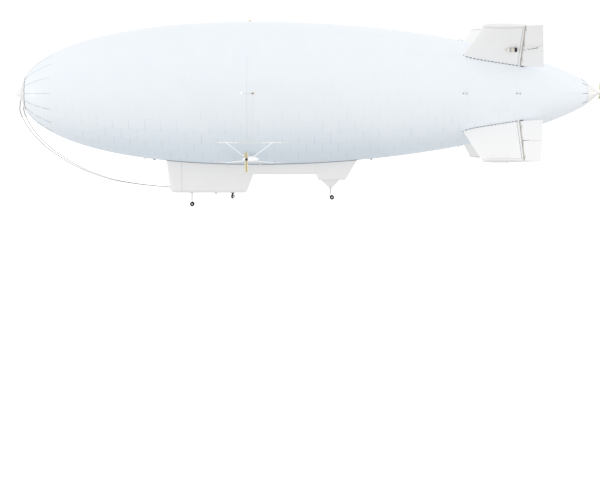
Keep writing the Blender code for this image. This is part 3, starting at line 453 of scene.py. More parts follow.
# painted shade: the seams grow darker towards the lower half
low = add_node(
    tree,
    "ShaderNodeMapRange",
    {"interpolation_type": "SMOOTHSTEP"},
    {"Value": across.outputs["Z"], "From Min": 0.5, "From Max": -5.0, "To Min": 0.03, "To Max": 0.5},
).outputs["Result"]
patchy = add_node(
    tree, "ShaderNodeTexNoise", {}, {"Vector": ship, "Scale": 0.8, "Detail": 4.0}
).outputs["Fac"]
worn = add_node(
    tree, "ShaderNodeMapRange", {}, {"Value": patchy, "From Min": 0.40, "From Max": 0.62, "To Min": 0.2}
).outputs["Result"]
strength = add_node(tree, "ShaderNodeMath", {"operation": "MULTIPLY"}, {0: low, 1: worn}).outputs[0]
faint_gore = add_node(tree, "ShaderNodeMath", {"operation": "MULTIPLY"}, {0: gore_seam, 1: 0.35}).outputs[0]
both = add_node(tree, "ShaderNodeMath", {"operation": "MAXIMUM"}, {0: cross_seam, 1: faint_gore}).outputs[0]
seam = add_node(tree, "ShaderNodeMath", {"operation": "MULTIPLY"}, {0: both, 1: strength}).outputs[0]
taped = add_node(
    tree, "ShaderNodeMix", {"data_type": "RGBA"}, {0: seam, 6: cloth, 7: linear("BFCBD6")}
).outputs[2]
tree.links.new(taped, shader.inputs["Base Color"])
bump = add_node(
    tree, "ShaderNodeBump", {}, {"Height": both, "Strength": 0.35, "Distance": 0.006}
).outputs["Normal"]
weave = add_node(
    tree, "ShaderNodeTexNoise", {}, {"Vector": ship, "Scale": 6.0, "Detail": 2.0}
).outputs["Fac"]
woven = add_node(
    tree, "ShaderNodeBump", {}, {"Height": weave, "Strength": 0.15, "Distance": 0.01, "Normal": bump}
).outputs["Normal"]
tree.links.new(woven, shader.inputs["Normal"])

HULL_RINGS = 110
hull_rows = []
for i in range(HULL_RINGS + 1):
    station = (
        (ENVELOPE_FRONT + ENVELOPE_BACK) / 2
        - (ENVELOPE_BACK - ENVELOPE_FRONT) / 2 * math.cos(math.pi * i / HULL_RINGS)
    )
    hull_rows.append((station, hull_radius(station)))
envelope = draw_round("envelope_skin", hull_rows, 192, fabric, close=False, smooth_angle=60)
finish_with(envelope, "SOLIDIFY", thickness=ENVELOPE_WALL, offset=-1)
settle(envelope, "ship", "envelope_fabric", "envelope")

# The nose dish is a cap of white gel-coated glass fibre with sixteen scallops, moulded in one piece. The
# blunt cone at its middle takes the mooring mast's cup. Each cusp holds a batten that spreads the load.
DISH_RADIUS = 1.72
DISH_FLAT_RADIUS = 0.66
DISH_BLANK_RADIUS = 1.80
DISH_THICKNESS = 0.05
DISH_WALL = 0.045
SCALLOPS = 16
SCALLOP_RADIUS = 0.63
SCALLOP_PLACE = 2.22


def nose_station(radius):
    """The station where the hull's nose has a radius."""
    power, root = NOSE_FULLNESS
    share = (1 - (radius / HULL_RADIUS) ** (1 / root)) ** (1 / power)
    return HULL_WIDEST - (HULL_WIDEST - HULL_NOSE) * share


def hull_normal(station):
    """The outline's outward direction, as its parts along the axis and across it."""
    step = 0.01
    rise = hull_radius(station + step) - hull_radius(station - step)
    length = math.hypot(rise, 2 * step)
    return -rise / length, 2 * step / length


def on_hull(station, roll, lift=0.0, sideways=0.0):
    """A point on the envelope at a roll angle, lifted from it and moved sideways."""
    aft, out = hull_normal(station)
    radius = hull_radius(station) + out * lift
    turn = math.radians(roll)
    return Vector((
        station + aft * lift,
        radius * math.sin(turn) + sideways * math.cos(turn),
        radius * math.cos(turn) - sideways * math.sin(turn),
    ))


def join(name, pieces):
    """Joins finished pieces into one."""
    bpy.ops.object.select_all(action="DESELECT")
    for piece in pieces:
        piece.select_set(True)
    bpy.context.view_layer.objects.active = pieces[0]
    bpy.ops.object.join()
    pieces[0].name = name
    return pieces[0]


def place_in_mesh(piece):
    """Puts a piece's own place and turn into its mesh."""
    piece.data.transform(piece.matrix_basis)
    piece.matrix_basis = Matrix.Identity(4)
    return piece


def rolled_copy(name, piece, roll, mirror=False):
    """A copy of a piece with its own mesh, turned about the ship's axis, and mirrored first where asked."""
    copy = bpy.data.objects.new(name, piece.data.copy())
    bpy.context.collection.objects.link(copy)
    side = -1 if mirror else 1
    turn = Matrix.Rotation(-math.radians(roll), 4, "X") @ Matrix.Diagonal((1, side, 1, 1))
    copy.data.transform(turn @ piece.matrix_basis)
    if mirror:
        copy.data.flip_normals()
    return copy


def copies_round(name, piece, rolls):
    """Copies of a piece round the ship's axis, joined. The piece itself goes."""
    place_in_mesh(piece)
    copies = [rolled_copy(name, piece, roll) for roll in rolls]
    bpy.data.objects.remove(piece)
    return join(name, copies)


def draw_tube(name, points, radius, material, resolution=2):
    """A round tube or rod along a route, drawn as a curve and made a mesh."""
    tube = draw_curve(name, points, radius, resolution)
    select_only(tube)
    bpy.ops.object.convert(target="MESH")
    bpy.ops.object.shade_smooth_by_angle(angle=math.radians(50))
    tube.data.materials.append(material)
    return tube


def mottled_material(name, roughness, tones, surface, metallic=0.0, **constants):
    """A material with mottled tones (scale, dark, light) and a grain (scale, strength, distance)."""
    material, tree, shader, ship = start_material(name, roughness, metallic, **constants)
    tree.links.new(mottle(tree, ship, *tones), shader.inputs["Base Color"])
    grain(tree, shader, ship, *surface)
    return material


# Gel-coat: smooth, near white, with the faint ripple of hand-laid cloth 60 mm apart and a soft gloss.
gelcoat = mottled_material(
    "white_gelcoat",
    0.32,
    (1.2, "EDEDEC", "F7F7F6"),
    (16, 0.08, 0.02),
    IOR=1.5,
    Coat_Weight=0.25,
    Coat_Roughness=0.15,
)

# The dish's own gel-coat: a shade greyer than the rest, with cloth ripple and hand marks a decimetre across.
dish_gelcoat = mottled_material(
    "grey_white_dish_gelcoat", 0.36, (9, "E3E3E4", "EFEFEF"), (16, 0.08, 0.02), IOR=1.5, Coat_Weight=0.2
)

# Glass-fibre battens in grey sleeves: matt, cool grey, lighter on top as painted light and darker below as
# painted shade, with their weave as a 30 mm grain.
sleeve, tree, shader, ship = start_material("grey_batten_sleeve", 0.7)
height = add_node(tree, "ShaderNodeSeparateXYZ", {}, {"Vector": ship}).outputs["Z"]
# painted light and shade: the sleeves lighter on top and darker below
painted_top_light = add_node(
    tree,
    "ShaderNodeMapRange",
    {"interpolation_type": "SMOOTHSTEP"},
    {"Value": height, "From Min": -1.6, "From Max": 1.6},
).outputs["Result"]
sleeve_cloth = add_node(
    tree,
    "ShaderNodeMix",
    {"data_type": "RGBA"},
    {
        0: painted_top_light,
        6: mottle(tree, ship, 4, "A3ACB5", "C6CED6"),
        7: mottle(tree, ship, 4, "DAE1E8", "E9EFF4"),
    },
).outputs[2]
tree.links.new(sleeve_cloth, shader.inputs["Base Color"])
grain(tree, shader, ship, 33, 0.4, 0.01)

# Dark ties and pads: rubberised cloth, matt, blue-grey with a worn bloom. The same dark cloth also draws
# painted shadows: along the nose dish's edge, in the gap under each flap's root and along each control horn.
dark_lacing_and_shadow = mottled_material("rubberised_lacing_cloth", 0.8, (9, "4A4F57", "7B818A"), (40, 0.4, 0.008))

dish_rows = [(HULL_NOSE - DISH_THICKNESS, 0.56), (HULL_NOSE - DISH_THICKNESS, DISH_FLAT_RADIUS)]
for i in range(1, 13):
    radius = DISH_FLAT_RADIUS + (DISH_BLANK_RADIUS - DISH_FLAT_RADIUS) * i / 12
    skin = on_hull(nose_station(radius), 0, DISH_THICKNESS)
    dish_rows.append((skin.x, skin.z))
dish = draw_round("nose_dish", dish_rows, 96, dish_gelcoat, close=False)
finish_with(dish, "SOLIDIFY", thickness=DISH_WALL, offset=-1)
cutters = []
for i in range(SCALLOPS):
    turn = 2 * math.pi * (i + 0.5) / SCALLOPS
    bpy.ops.mesh.primitive_cylinder_add(
        vertices=48,
        radius=SCALLOP_RADIUS,
        depth=2.0,
        location=(1.0, SCALLOP_PLACE * math.sin(turn), SCALLOP_PLACE * math.cos(turn)),
        rotation=(0, math.pi / 2, 0),
    )
    cutters.append(bpy.context.object)
scallop_cutter = join("scallop_cutter", cutters)
finish_with(dish, "BOOLEAN", operation="DIFFERENCE", object=scallop_cutter, use_self=True)
bpy.data.objects.remove(scallop_cutter)
for side in (-1, 1):
    eye_top, eye_end = on_side(EYE_TOP, side), on_side(EYE_END, side)
    middle = eye_top.lerp(eye_end, 0.4)
    eye = draw_tube("line_eye", [eye_top, eye_end], LINE_EYE_RADIUS, gelcoat, 4)
    stem = draw_tube("line_eye_stem", [middle, middle + Vector((0.5, 0, 0))], 0.045, gelcoat, 4)
    dish = join("nose_dish", [dish, eye, stem])

# painted shadow: a thin dark bead round the scallops' edge, where the dish meets the envelope
edge_route = []
for i in range(SCALLOPS * 12 + 1):
    turn = 2 * math.pi * i / (SCALLOPS * 12)
    off_middle = SCALLOP_PLACE * math.sin(turn % (2 * math.pi / SCALLOPS) - math.pi / SCALLOPS)
    along = math.sqrt(max(0, SCALLOP_PLACE**2 - off_middle**2))
    radius = min(DISH_RADIUS, along - math.sqrt(max(0, SCALLOP_RADIUS**2 - off_middle**2)))
    edge_route.append(on_hull(nose_station(radius), math.degrees(turn), 0.012))
dish = join("nose_dish", [dish, draw_tube("dish_shadow_bead", edge_route, 0.016, dark_lacing_and_shadow, 1)])

NOSE_BATTEN_END = 3.75
SHORT_BATTEN_END = 2.45
NOSE_BATTEN_RADIUS = 0.020
BATTEN_CUFF_RADIUS = 0.034
battens = []
for end, rolls in (
    (NOSE_BATTEN_END, [22.5 * i for i in range(16) if i % 8]),
    (SHORT_BATTEN_END, [0, 180]),
):
    start = nose_station(DISH_RADIUS - 0.12)
    route = [on_hull(start + (end - start) * i / 14, 0, 0.012) for i in range(15)]
    batten = draw_tube("batten", route, NOSE_BATTEN_RADIUS, sleeve)
    cuffs = [draw_tube("cuff", route[i:i + 2], BATTEN_CUFF_RADIUS, gelcoat) for i in (0, 5, 9)]
    battens.append(copies_round("nose_battens", join("batten", [batten, *cuffs]), rolls))
dish = join("nose_dish_with_battens", [dish, *battens])
settle(dish, "ship", "white_composite", "nose_dish_and_battens")

cone_rows = [(0.0, 0.02), (0.0, 0.045), (0.012, 0.056), (0.22, 0.235), (0.42, 0.40), (0.50, 0.48)]
cone_rows += [(0.55, 0.56), (0.575, 0.60), (HULL_NOSE - DISH_THICKNESS - SEAT_GAP, 0.60)]
cone = draw_round("nose_mooring_cone", cone_rows, 64, gelcoat, smooth_angle=50)
settle(cone, "ship", "white_composite", "nose_cone")

# The tail cone is a white composite cap that closes the envelope and carries the stern motor. Eight short
# battens run forward from it, each dark and stout next to the cone and pale beyond.
TAIL_CONE_FRONT = 54.45
TAIL_CONE_BACK = 55.62
TAIL_BATTEN_RADIUS = 0.018
TAIL_BATTEN_START = 52.30
TAIL_BATTEN_LENGTH = 2.3
STOUT_PART_START = 53.95
STOUT_PART_LENGTH = 0.50
# columns: station, height above the envelope
TAIL_CONE_SKIRT = [(TAIL_CONE_FRONT, -0.05), (TAIL_CONE_FRONT, 0.035), (54.62, 0.05), (54.80, 0.06)]
tail_rows = [(station, hull_radius(station) + lift) for station, lift in TAIL_CONE_SKIRT]
tail_rows += [(55.00, 0.655), (55.20, 0.50), (55.40, 0.32), (55.56, 0.165), (55.58, 0.16)]
tail_rows += [(TAIL_CONE_BACK, 0.155), (TAIL_CONE_BACK, 0.05)]
tail_cone = draw_round("tail_cone", tail_rows, 64, gelcoat)
route = [on_hull(TAIL_BATTEN_START + TAIL_BATTEN_LENGTH * i / 10, 0, 0.0) for i in range(11)]
batten = draw_tube("batten", route, TAIL_BATTEN_RADIUS, gelcoat)
route = [on_hull(STOUT_PART_START + STOUT_PART_LENGTH * i / 4, 0, 0.01) for i in range(5)]
stout = draw_tube("stout_batten", route, TAIL_BATTEN_RADIUS, dark_lacing_and_shadow)
tail_battens = copies_round("tail_battens", join("batten", [batten, stout]), [45 * i for i in range(8)])
tail_cone = join("tail_cone_with_battens", [tail_cone, tail_battens])
settle(tail_cone, "ship", "white_composite", "tail_cone_and_battens")

# Four flat fins stand in an X. Each is a ribbed frame under doped white cloth, laced down along its root with
# a row of dark ties, with a white tip cap and three hinge lugs on its square back edge.
FIN_ROLLS = {"upper_starboard": 45, "lower_starboard": 135, "lower_port": 225, "upper_port": 315}
FIN_TIP_SPAN = 8.84
FIN_LEADING_EDGE = ((42.30, 4.75), (43.98, FIN_TIP_SPAN))
FIN_THICKNESS = (0.56, 0.42)
HINGE_STATION = 47.90
HINGE_HALF_THICKNESS = (0.15, 0.115)
HINGE_CLEARANCE = 0.016
FIN_ROOT_AT_HINGE = 3.35
HINGE_LUG_SPANS = (4.40, 6.30, 8.20)
HINGE_LUG_RADIUS = 0.06
TIP_CAP_SHARE = 0.965
# the ties along a root, in shares of the chord: where the first starts, their spacing and their length
ROOT_TIES = 15
TIE_START, TIE_SPACING, TIE_LENGTH = 0.035, 0.064, 0.042
# columns: share of the chord, share of the half thickness
FIN_PROFILE = [
    (0.0, 0.0),
    (0.01, 0.24),
    (0.03, 0.42),
    (0.06, 0.59),
    (0.10, 0.72),
    (0.18, 0.90),
    (0.28, 1.0),
    (0.45, 0.98),
    (0.62, 0.92),
    (0.80, 0.75),
]


def made_from(name, shape, material):
    """A piece from a finished bmesh, which is freed."""
    mesh = bpy.data.meshes.new(name)
    shape.to_mesh(mesh)
    shape.free()
    mesh.materials.append(material)
    piece = bpy.data.objects.new(name, mesh)
    bpy.context.collection.objects.link(piece)
    return piece


def draw_loft(name, sections, material, smooth_angle=40):
    """A closed body through like outlines, each a ring of points, with a face at both ends."""
    shape = bmesh.new()
    rings = [[shape.verts.new(point) for point in section] for section in sections]
    shape.faces.new(list(reversed(rings[0])))
    shape.faces.new(rings[-1])
    for ring, following in zip(rings, rings[1:]):
        for i in range(len(ring)):
            j = (i + 1) % len(ring)
            shape.faces.new((ring[i], ring[j], following[j], following[i]))
    bmesh.ops.recalc_face_normals(shape, faces=shape.faces)
    piece = made_from(name, shape, material)
    select_only(piece)
    bpy.ops.object.shade_smooth_by_angle(angle=math.radians(smooth_angle))
    return piece


def draw_box(name, x, y, z, material, edge=0.0):
    """A box between two limits on each axis, with its edges rounded."""
    bpy.ops.object.select_all(action="DESELECT")
    bpy.ops.mesh.primitive_cube_add(size=1, location=[sum(limits) / 2 for limits in (x, y, z)])
    piece = bpy.context.object
    piece.name = name
    bpy.ops.object.mode_set(mode="EDIT")
    bpy.ops.transform.resize(value=[limits[1] - limits[0] for limits in (x, y, z)])
    if edge:
        bpy.ops.mesh.bevel(offset=edge, segments=3)
    bpy.ops.object.mode_set(mode="OBJECT")
    piece.data.materials.append(material)
    bpy.ops.object.shade_smooth_by_angle(angle=math.radians(40))
    return piece


def about(middle, half):
    """The two limits that lie half a width either side of a middle."""
    return middle - half, middle + half


def blend_values(pair, share):
    """A value between two, at a share of the way."""
    return pair[0] + (pair[1] - pair[0]) * share


def fin_point(share, depth, rise, proud=0.0):
    """A point on a fin's face, by its share of the chord, of the half thickness and of the way up."""
    (root_x, root_z), (tip_x, tip_z) = FIN_LEADING_EDGE
    hinge_half = blend_values(HINGE_HALF_THICKNESS, rise)
    trailing = HINGE_STATION - hinge_half - HINGE_CLEARANCE
    leading = blend_values((root_x, tip_x), rise)
    side = math.copysign(1, depth)
    half = hinge_half if abs(depth) > 1 else abs(depth) * blend_values(FIN_THICKNESS, rise) / 2
    return Vector((
        leading + (trailing - leading) * share,
        side * (half + proud),
        blend_values((blend_values((root_z, FIN_ROOT_AT_HINGE), share), tip_z), rise),
    ))


def fin_root(share, depth, sink=0.02):
    """How far up a fin's face meets the hull."""
    low, high = 0.0, 0.5
    for _ in range(24):
        middle = (low + high) / 2
        point = fin_point(share, depth, middle)
        if math.hypot(point.y, point.z) < hull_radius(point.x) - sink:
            low = middle
        else:
            high = middle
    return low


# Doped cloth: satin white, drawn tight over ribs 0.55 m apart that show as soft ridges, a little greyer.
fin_cloth, tree, shader, ship = start_material("doped_fin_cloth", 0.5, IOR=1.46)
across = add_node(tree, "ShaderNodeSeparateXYZ", {}, {"Vector": ship})
flat = add_node(
    tree, "ShaderNodeCombineXYZ", {}, {"Y": across.outputs["Y"], "Z": across.outputs["Z"]}
).outputs["Vector"]
span = add_node(tree, "ShaderNodeVectorMath", {"operation": "LENGTH"}, {0: flat}).outputs["Value"]
rib = add_node(tree, "ShaderNodeMath", {"operation": "PINGPONG"}, {0: span, 1: 0.275}).outputs[0]
ridge = add_node(
    tree,
    "ShaderNodeMapRange",
    {"interpolation_type": "SMOOTHSTEP"},
    {"Value": rib, "From Min": 0.05, "From Max": 0.0},
).outputs["Result"]
faint = add_node(tree, "ShaderNodeMath", {"operation": "MULTIPLY"}, {0: ridge, 1: 0.05}).outputs[0]
cloth = add_node(
    tree,
    "ShaderNodeMix",
    {"data_type": "RGBA"},
    {0: faint, 6: mottle(tree, ship, 0.9, "F8F8F8", "FBFBFB"), 7: linear("D2D2D5")},
).outputs[2]
tree.links.new(cloth, shader.inputs["Base Color"])
ridged = add_node(
    tree, "ShaderNodeBump", {}, {"Height": ridge, "Strength": 0.15, "Distance": 0.005}
).outputs["Normal"]
tree.links.new(ridged, shader.inputs["Normal"])

# Hinge lugs and nose strips: tan-grey anodised aluminium, brushed lengthwise.
hinge_metal = mottled_material(
    "tan_anodised_aluminium", 0.42, (6, "C9C5BD", "DDDAD3"), (60, 0.25, 0.004), metallic=0.3
)

profile = FIN_PROFILE + [(1.0, 1.5)]
outline = profile + [(share, -depth) for share, depth in reversed(profile[1:])]
roots = [fin_root(share, depth) for share, depth in outline]
skin = draw_loft(
    "fin_skin",
    [
        [
            fin_point(share, depth, root + (1 - root) * rise)
            for (share, depth), root in zip(outline, roots)
        ]
        for rise in (0.0, 0.06, 0.25, 0.5, 0.75, TIP_CAP_SHARE)
    ],
    fin_cloth,
)
# columns: share of the way up, how far the cap stands proud
cap_rows = [(TIP_CAP_SHARE - 0.004, 0.0), (TIP_CAP_SHARE - 0.004, 0.008)]
cap_rows += [(0.990, 0.008), (0.997, 0.0), (1.0, -0.02)]
cap = draw_loft(
    "fin_tip_cap",
    [[fin_point(share, depth, rise, proud) for share, depth in outline] for rise, proud in cap_rows],
    gelcoat,
)
cap_edge = draw_loft(
    "fin_tip_seam",
    [
        [fin_point(share, depth, rise, 0.011) for share, depth in outline]
        for rise in (TIP_CAP_SHARE - 0.010, TIP_CAP_SHARE - 0.003)
    ],
    hinge_metal,
)
fin_fittings = [cap, cap_edge]
tie_profile = [*FIN_PROFILE, (1.0, 0.54)]
for side in (-1, 1):
    for i in range(ROOT_TIES):
        start = TIE_START + TIE_SPACING * i
        ends = []
        for share in (start, start + TIE_LENGTH):
            depth = side * max(
                blend_values((low[1], high[1]), (share - low[0]) / (high[0] - low[0]))
                for low, high in zip(tie_profile, tie_profile[1:])
                if low[0] <= share < high[0]
            )
            ends.append(fin_point(share, depth, fin_root(share, depth, -0.02), 0.012))
        fin_fittings.append(draw_tube("root_tie", ends, 0.030, dark_lacing_and_shadow))
    front_seam = [fin_point(0.962, side * 1.5, rise, 0.004) for rise in (0.07, 0.5, TIP_CAP_SHARE - 0.01)]
    fin_fittings.append(draw_tube("hinge_strip_edge", front_seam, 0.016, dark_lacing_and_shadow))
boot_front = FIN_LEADING_EDGE[0][0] + 0.10
boot = [(boot_front + 0.09 * i, 0, hull_radius(boot_front + 0.09 * i) + 0.02) for i in range(4)]
fin_fittings.append(draw_tube("root_boot", boot, 0.04, dark_lacing_and_shadow))
# painted shadow: a dark block in the gap under the flap's root, by the hinge
fin_fittings.append(draw_box("root_gap_shadow_block", (47.60, 48.12), about(0, 0.18), (3.64, 3.745), dark_lacing_and_shadow, 0.02))
for span in HINGE_LUG_SPANS:
    lug_root = HINGE_STATION - 0.27
    outline_points = [(lug_root, -HINGE_LUG_RADIUS), (lug_root, HINGE_LUG_RADIUS)]
    for i in range(17):
        turn = math.radians(90 - 180 * i / 16)
        outline_points.append((
            HINGE_STATION + HINGE_LUG_RADIUS * math.cos(turn),
            HINGE_LUG_RADIUS * math.sin(turn),
        ))
    plate = [[(x, y, z) for x, y in outline_points] for z in about(span, 0.048)]
    fin_fittings.append(draw_loft("hinge_lug", plate, hinge_metal))
fin = join("fin", [skin, *fin_fittings])
for place, roll in FIN_ROLLS.items():
    settle(rolled_copy(f"fin_{place}_covered", fin, roll), "ship", "fin_cover", f"fin_{place}")
bpy.data.objects.remove(fin)

# Each ruddervator is a cloth-covered flap on three hinges with a half-round metal nose, a cross seam at
# mid-span and a sharp back edge. A tapered horn on its lower face takes the actuator's rod; a dark strip
# along the horn's edge is painted shadow.
FLAP_ROOT_SPAN = (3.80, 3.50)
FLAP_TRAILING_EDGE = (50.04, 49.44)
HINGE_NOTCH_DEPTH = 0.09
ACTUATOR_SPAN = 6.04
ACTUATOR_REACH = 0.36


def flap_ring(rise, edge=0.012):
    """One outline of the flap at a share of the way up."""
    radius = blend_values(HINGE_HALF_THICKNESS, rise)
    trailing = blend_values(FLAP_TRAILING_EDGE, rise) - HINGE_STATION
    points = []
    for i in range(9):
        turn = math.radians(180 - 90 * i / 8)
        points.append((radius * math.cos(turn), radius * math.sin(turn)))
    points += [(trailing * share, blend_values((radius, edge), share)) for share in (0.06, 0.5)]
    points.append((trailing, edge))
    points += [(x, -y) for x, y in reversed(points[1:])]
    low = [blend_values(FLAP_ROOT_SPAN, max(0, x) / trailing) for x, _ in points]
    return [
        Vector((HINGE_STATION + x, y, blend_values((z, FIN_TIP_SPAN), rise)))
        for (x, y), z in zip(points, low)
    ]


flap = draw_loft("ruddervator_skin", [flap_ring(rise) for rise in (0, 0.25, 0.5, 0.75, 1)], fin_cloth)
flap.data.materials.append(hinge_metal)
for polygon in flap.data.polygons:
    if polygon.center.x < HINGE_STATION:
        polygon.material_index = 1
notch = (HINGE_STATION - 0.3, HINGE_STATION + HINGE_NOTCH_DEPTH)
notches = [
    draw_box("hinge_notch", notch, about(0, 0.3), about(span, 0.052), fin_cloth) for span in HINGE_LUG_SPANS
]
notch_cutter = join("notch_cutter", notches)
finish_with(flap, "BOOLEAN", operation="DIFFERENCE", object=notch_cutter)
bpy.data.objects.remove(notch_cutter)
flap_fittings = []
for side in (-1, 1):
    seam = []
    for x in (HINGE_STATION + 0.02, HINGE_STATION + 1.78):
        share = (x - HINGE_STATION) / (blend_values(FLAP_TRAILING_EDGE, 0.5) - HINGE_STATION)
        seam.append(Vector((x, side * (blend_values((0.133, 0.012), share) + 0.002), 6.30 - 0.06 * share)))
    flap_fittings.append(draw_tube("flap_cross_seam", seam, 0.014, hinge_metal))
    if side < 0:
        seam_tab = [seam[0], seam[0].lerp(seam[1], 0.3)]
        flap_fittings.append(draw_tube("flap_seam_tab", seam_tab, 0.022, dark_lacing_and_shadow))
HORN_SIDE = ((48.15, 0.08), (48.25, 0.30), (48.37, 0.30), (49.28, 0.03))
horn = draw_loft(
    "control_horn",
    [
        [(x, y, ACTUATOR_SPAN + z * width) for x, y in HORN_SIDE]
        for z, width in ((-1, 0.030), (-0.6, 0.035), (0.6, 0.035), (1, 0.030))
    ],
    gelcoat,
)
# painted shadow: a dark strip along the horn's outer edge
rim = [(x, y, ACTUATOR_SPAN) for x, y in ((48.28, 0.285), (48.37, 0.29), (48.75, 0.195), (49.24, 0.075))]
horn_shadow_strip = draw_tube("horn_shadow_strip", rim, 0.026, dark_lacing_and_shadow)
horn_pin = draw_tube("horn_pin", [(48.31, 0.26, z) for z in about(ACTUATOR_SPAN, 0.05)], 0.022, dark_lacing_and_shadow)
flap = join("ruddervator", [flap, *flap_fittings, horn, horn_shadow_strip, horn_pin])
for place, roll in FIN_ROLLS.items():
    copy = rolled_copy(f"ruddervator_{place}_covered", flap, roll, mirror=roll > 180)
    settle(copy, f"ruddervator_{place}", "fin_cover", f"ruddervator_{place}")
bpy.data.objects.remove(flap)

# An electric actuator stands off each fin's lower face on a bracket: a cream moulded gearbox with a white end
# cap and a steel clamp, a black motor disc, and a push rod with a clevis that points at the horn.
# Moulded plastic: satin cream, a little uneven in tone.
cream_plastic = mottled_material("cream_moulded_plastic", 0.45, (5, "D5D2C0", "E6E3D4"), (30, 0.2, 0.006))
# Black anodised aluminium: satin, with a soft metallic sheen.
black_metal = mottled_material(
    "black_anodised_aluminium", 0.38, (8, "17181A", "2B2D30"), (45, 0.3, 0.005), metallic=0.4
)
# Bare steel: bright, finely brushed, greyer in patches.
steel = mottled_material("bare_steel", 0.32, (10, "9B9EA2", "C6C9CC"), (50, 0.25, 0.004), metallic=0.85)

ACTUATOR_ROD_END = 48.03
# columns: station, radius
gearbox_rows = [(46.22, 0.02), (46.225, 0.06), (46.27, 0.12), (46.37, 0.155), (46.52, 0.165)]
gearbox_rows += [(46.92, 0.17), (47.04, 0.155), (47.045, 0.12)]
centre = (0, ACTUATOR_REACH, ACTUATOR_SPAN)
gearbox = draw_round("actuator_gearbox", gearbox_rows, 24, cream_plastic, centre=centre)
cap_rows = [(46.36, 0.15), (46.37, 0.168), (46.50, 0.178), (46.51, 0.16)]
end_cap = draw_round("actuator_end_cap", cap_rows, 24, gelcoat, centre=centre)
band_rows = [(46.60, 0.16), (46.605, 0.178), (46.72, 0.178), (46.725, 0.16)]
clamp = draw_round("actuator_clamp", band_rows, 24, steel, centre=centre)
motor_rows = [(47.045, 0.06), (47.05, 0.18), (47.065, 0.20), (47.12, 0.20), (47.13, 0.185), (47.18, 0.185)]
motor_rows += [(47.19, 0.20), (47.255, 0.20), (47.27, 0.18), (47.275, 0.06)]
motor = draw_round("actuator_motor", motor_rows, 32, black_metal, centre=centre)
rod = [(x, ACTUATOR_REACH, ACTUATOR_SPAN) for x in (47.2, ACTUATOR_ROD_END - 0.10)]
push_rod = draw_tube("actuator_rod", rod, 0.025, hinge_metal, 4)
clevis = draw_box(
    "actuator_clevis",
    (ACTUATOR_ROD_END - 0.14, ACTUATOR_ROD_END - 0.02),
    about(ACTUATOR_REACH, 0.030),
    about(ACTUATOR_SPAN, 0.03),
    dark_lacing_and_shadow,
    0.012,
)
bracket = draw_box(
    "actuator_bracket", (46.57, 46.87), (0.15, 0.30), about(ACTUATOR_SPAN, 0.05), hinge_metal, 0.01
)
foot = draw_box("actuator_foot", (46.44, 47.00), (0.20, 0.245), about(ACTUATOR_SPAN, 0.10), hinge_metal, 0.01)
actuator = join("fin_actuator", [gearbox, end_cap, clamp, motor, push_rod, clevis, bracket, foot])
for place, roll in FIN_ROLLS.items():
    copy = rolled_copy(f"fin_actuator_{place}_unit", actuator, roll, mirror=roll > 180)
    settle(copy, "ship", "dark_metal", f"fin_actuator_{place}")
bpy.data.objects.remove(actuator)

# Four thin steel stays brace each fin: from a bar on its tip to laced pads on the hull, on the lines halfway
# to the next fins, each with a turnbuckle above its pad.
STAY_RADIUS = 0.005
STAY_STATION = 46.20
STAY_BAR_REACH = 0.24
STAY_BAR_HEIGHT = 0.07
STAY_FOOT_STATIONS = (42.44, 47.54)
STAY_FOOT_STAGGER = 0.155
# Plastic-coated steel wire: pale grey and satin, so thin that it shows only against shade.
wire = mottled_material(
    "pale_coated_stay_wire", 0.5, (30, "E6E9EC", "F7F8F9"), (60, 0.3, 0.003), metallic=0.3
)
bar_low = FIN_TIP_SPAN + SEAT_GAP
stays = [
    draw_box(
        "stay_bar",
        about(STAY_STATION, 0.06),
        about(0, STAY_BAR_REACH),
        (bar_low, bar_low + STAY_BAR_HEIGHT),
        gelcoat,
        0.015,
    )
]
for face in (-1, 1):
    start = Vector((STAY_STATION, face * (STAY_BAR_REACH - 0.03), bar_low + STAY_BAR_HEIGHT / 2))
    for station in STAY_FOOT_STATIONS:
        foot_station = station + face * STAY_FOOT_STAGGER
        foot = on_hull(foot_station, 45 * face, 0.05)
        along = (start - foot).normalized()
        stays.append(draw_tube("stay_wire", [start, foot], STAY_RADIUS, wire))
        stays.append(draw_tube("turnbuckle", [foot + along * 0.12, foot + along * 0.42], 0.014, wire))
        pad = [on_hull(foot_station, 45 * face, lift) for lift in (0.0, 0.045)]
        stays.append(draw_tube("stay_pad", pad, 0.052, dark_lacing_and_shadow, 4))
stays = join("fin_stays", stays)
for place, roll in FIN_ROLLS.items():
    settle(rolled_copy(f"fin_stays_{place}_wires", stays, roll), "ship", "stay_wire", f"fin_stays_{place}")
bpy.data.objects.remove(stays)

# The gondola, keel and aft fairing hang under the hull as one smooth white fairing, closed and windowless. It
# is moulded in panels, with a joint behind the gondola's nose; the dark grey strip along the envelope is a
# painted shadow where the fairing meets it.
GONDOLA_WIDTH = 1.90
GONDOLA_FLOOR = -9.47
GONDOLA_SPLIT = 15.87
GONDOLA_BACK = (22.03, 23.39)
BELLY_TOP = -5.90
BELLY_HALF_WIDTH = 0.93
BELLY_ROUNDING = 0.40
KEEL_FLOOR = -7.70
KEEL_BACK = 28.62
FAIRING_FLOOR = -8.28
FAIRING_APEX = (30.05, -9.02)
JOINT_HALF_GAP = 0.008
KEEL_INSET = 0.004
KEEL_OVERLAP = 0.35
# the dark strip along the hull joint, a painted shadow
JOINT_SHADOW_RADIUS = 0.035
JOINT_SHADOW_STANDOFF = 0.012
JOINT_SHADOW_STATIONS = ((14.36, 23.30), (23.45, 32.70))


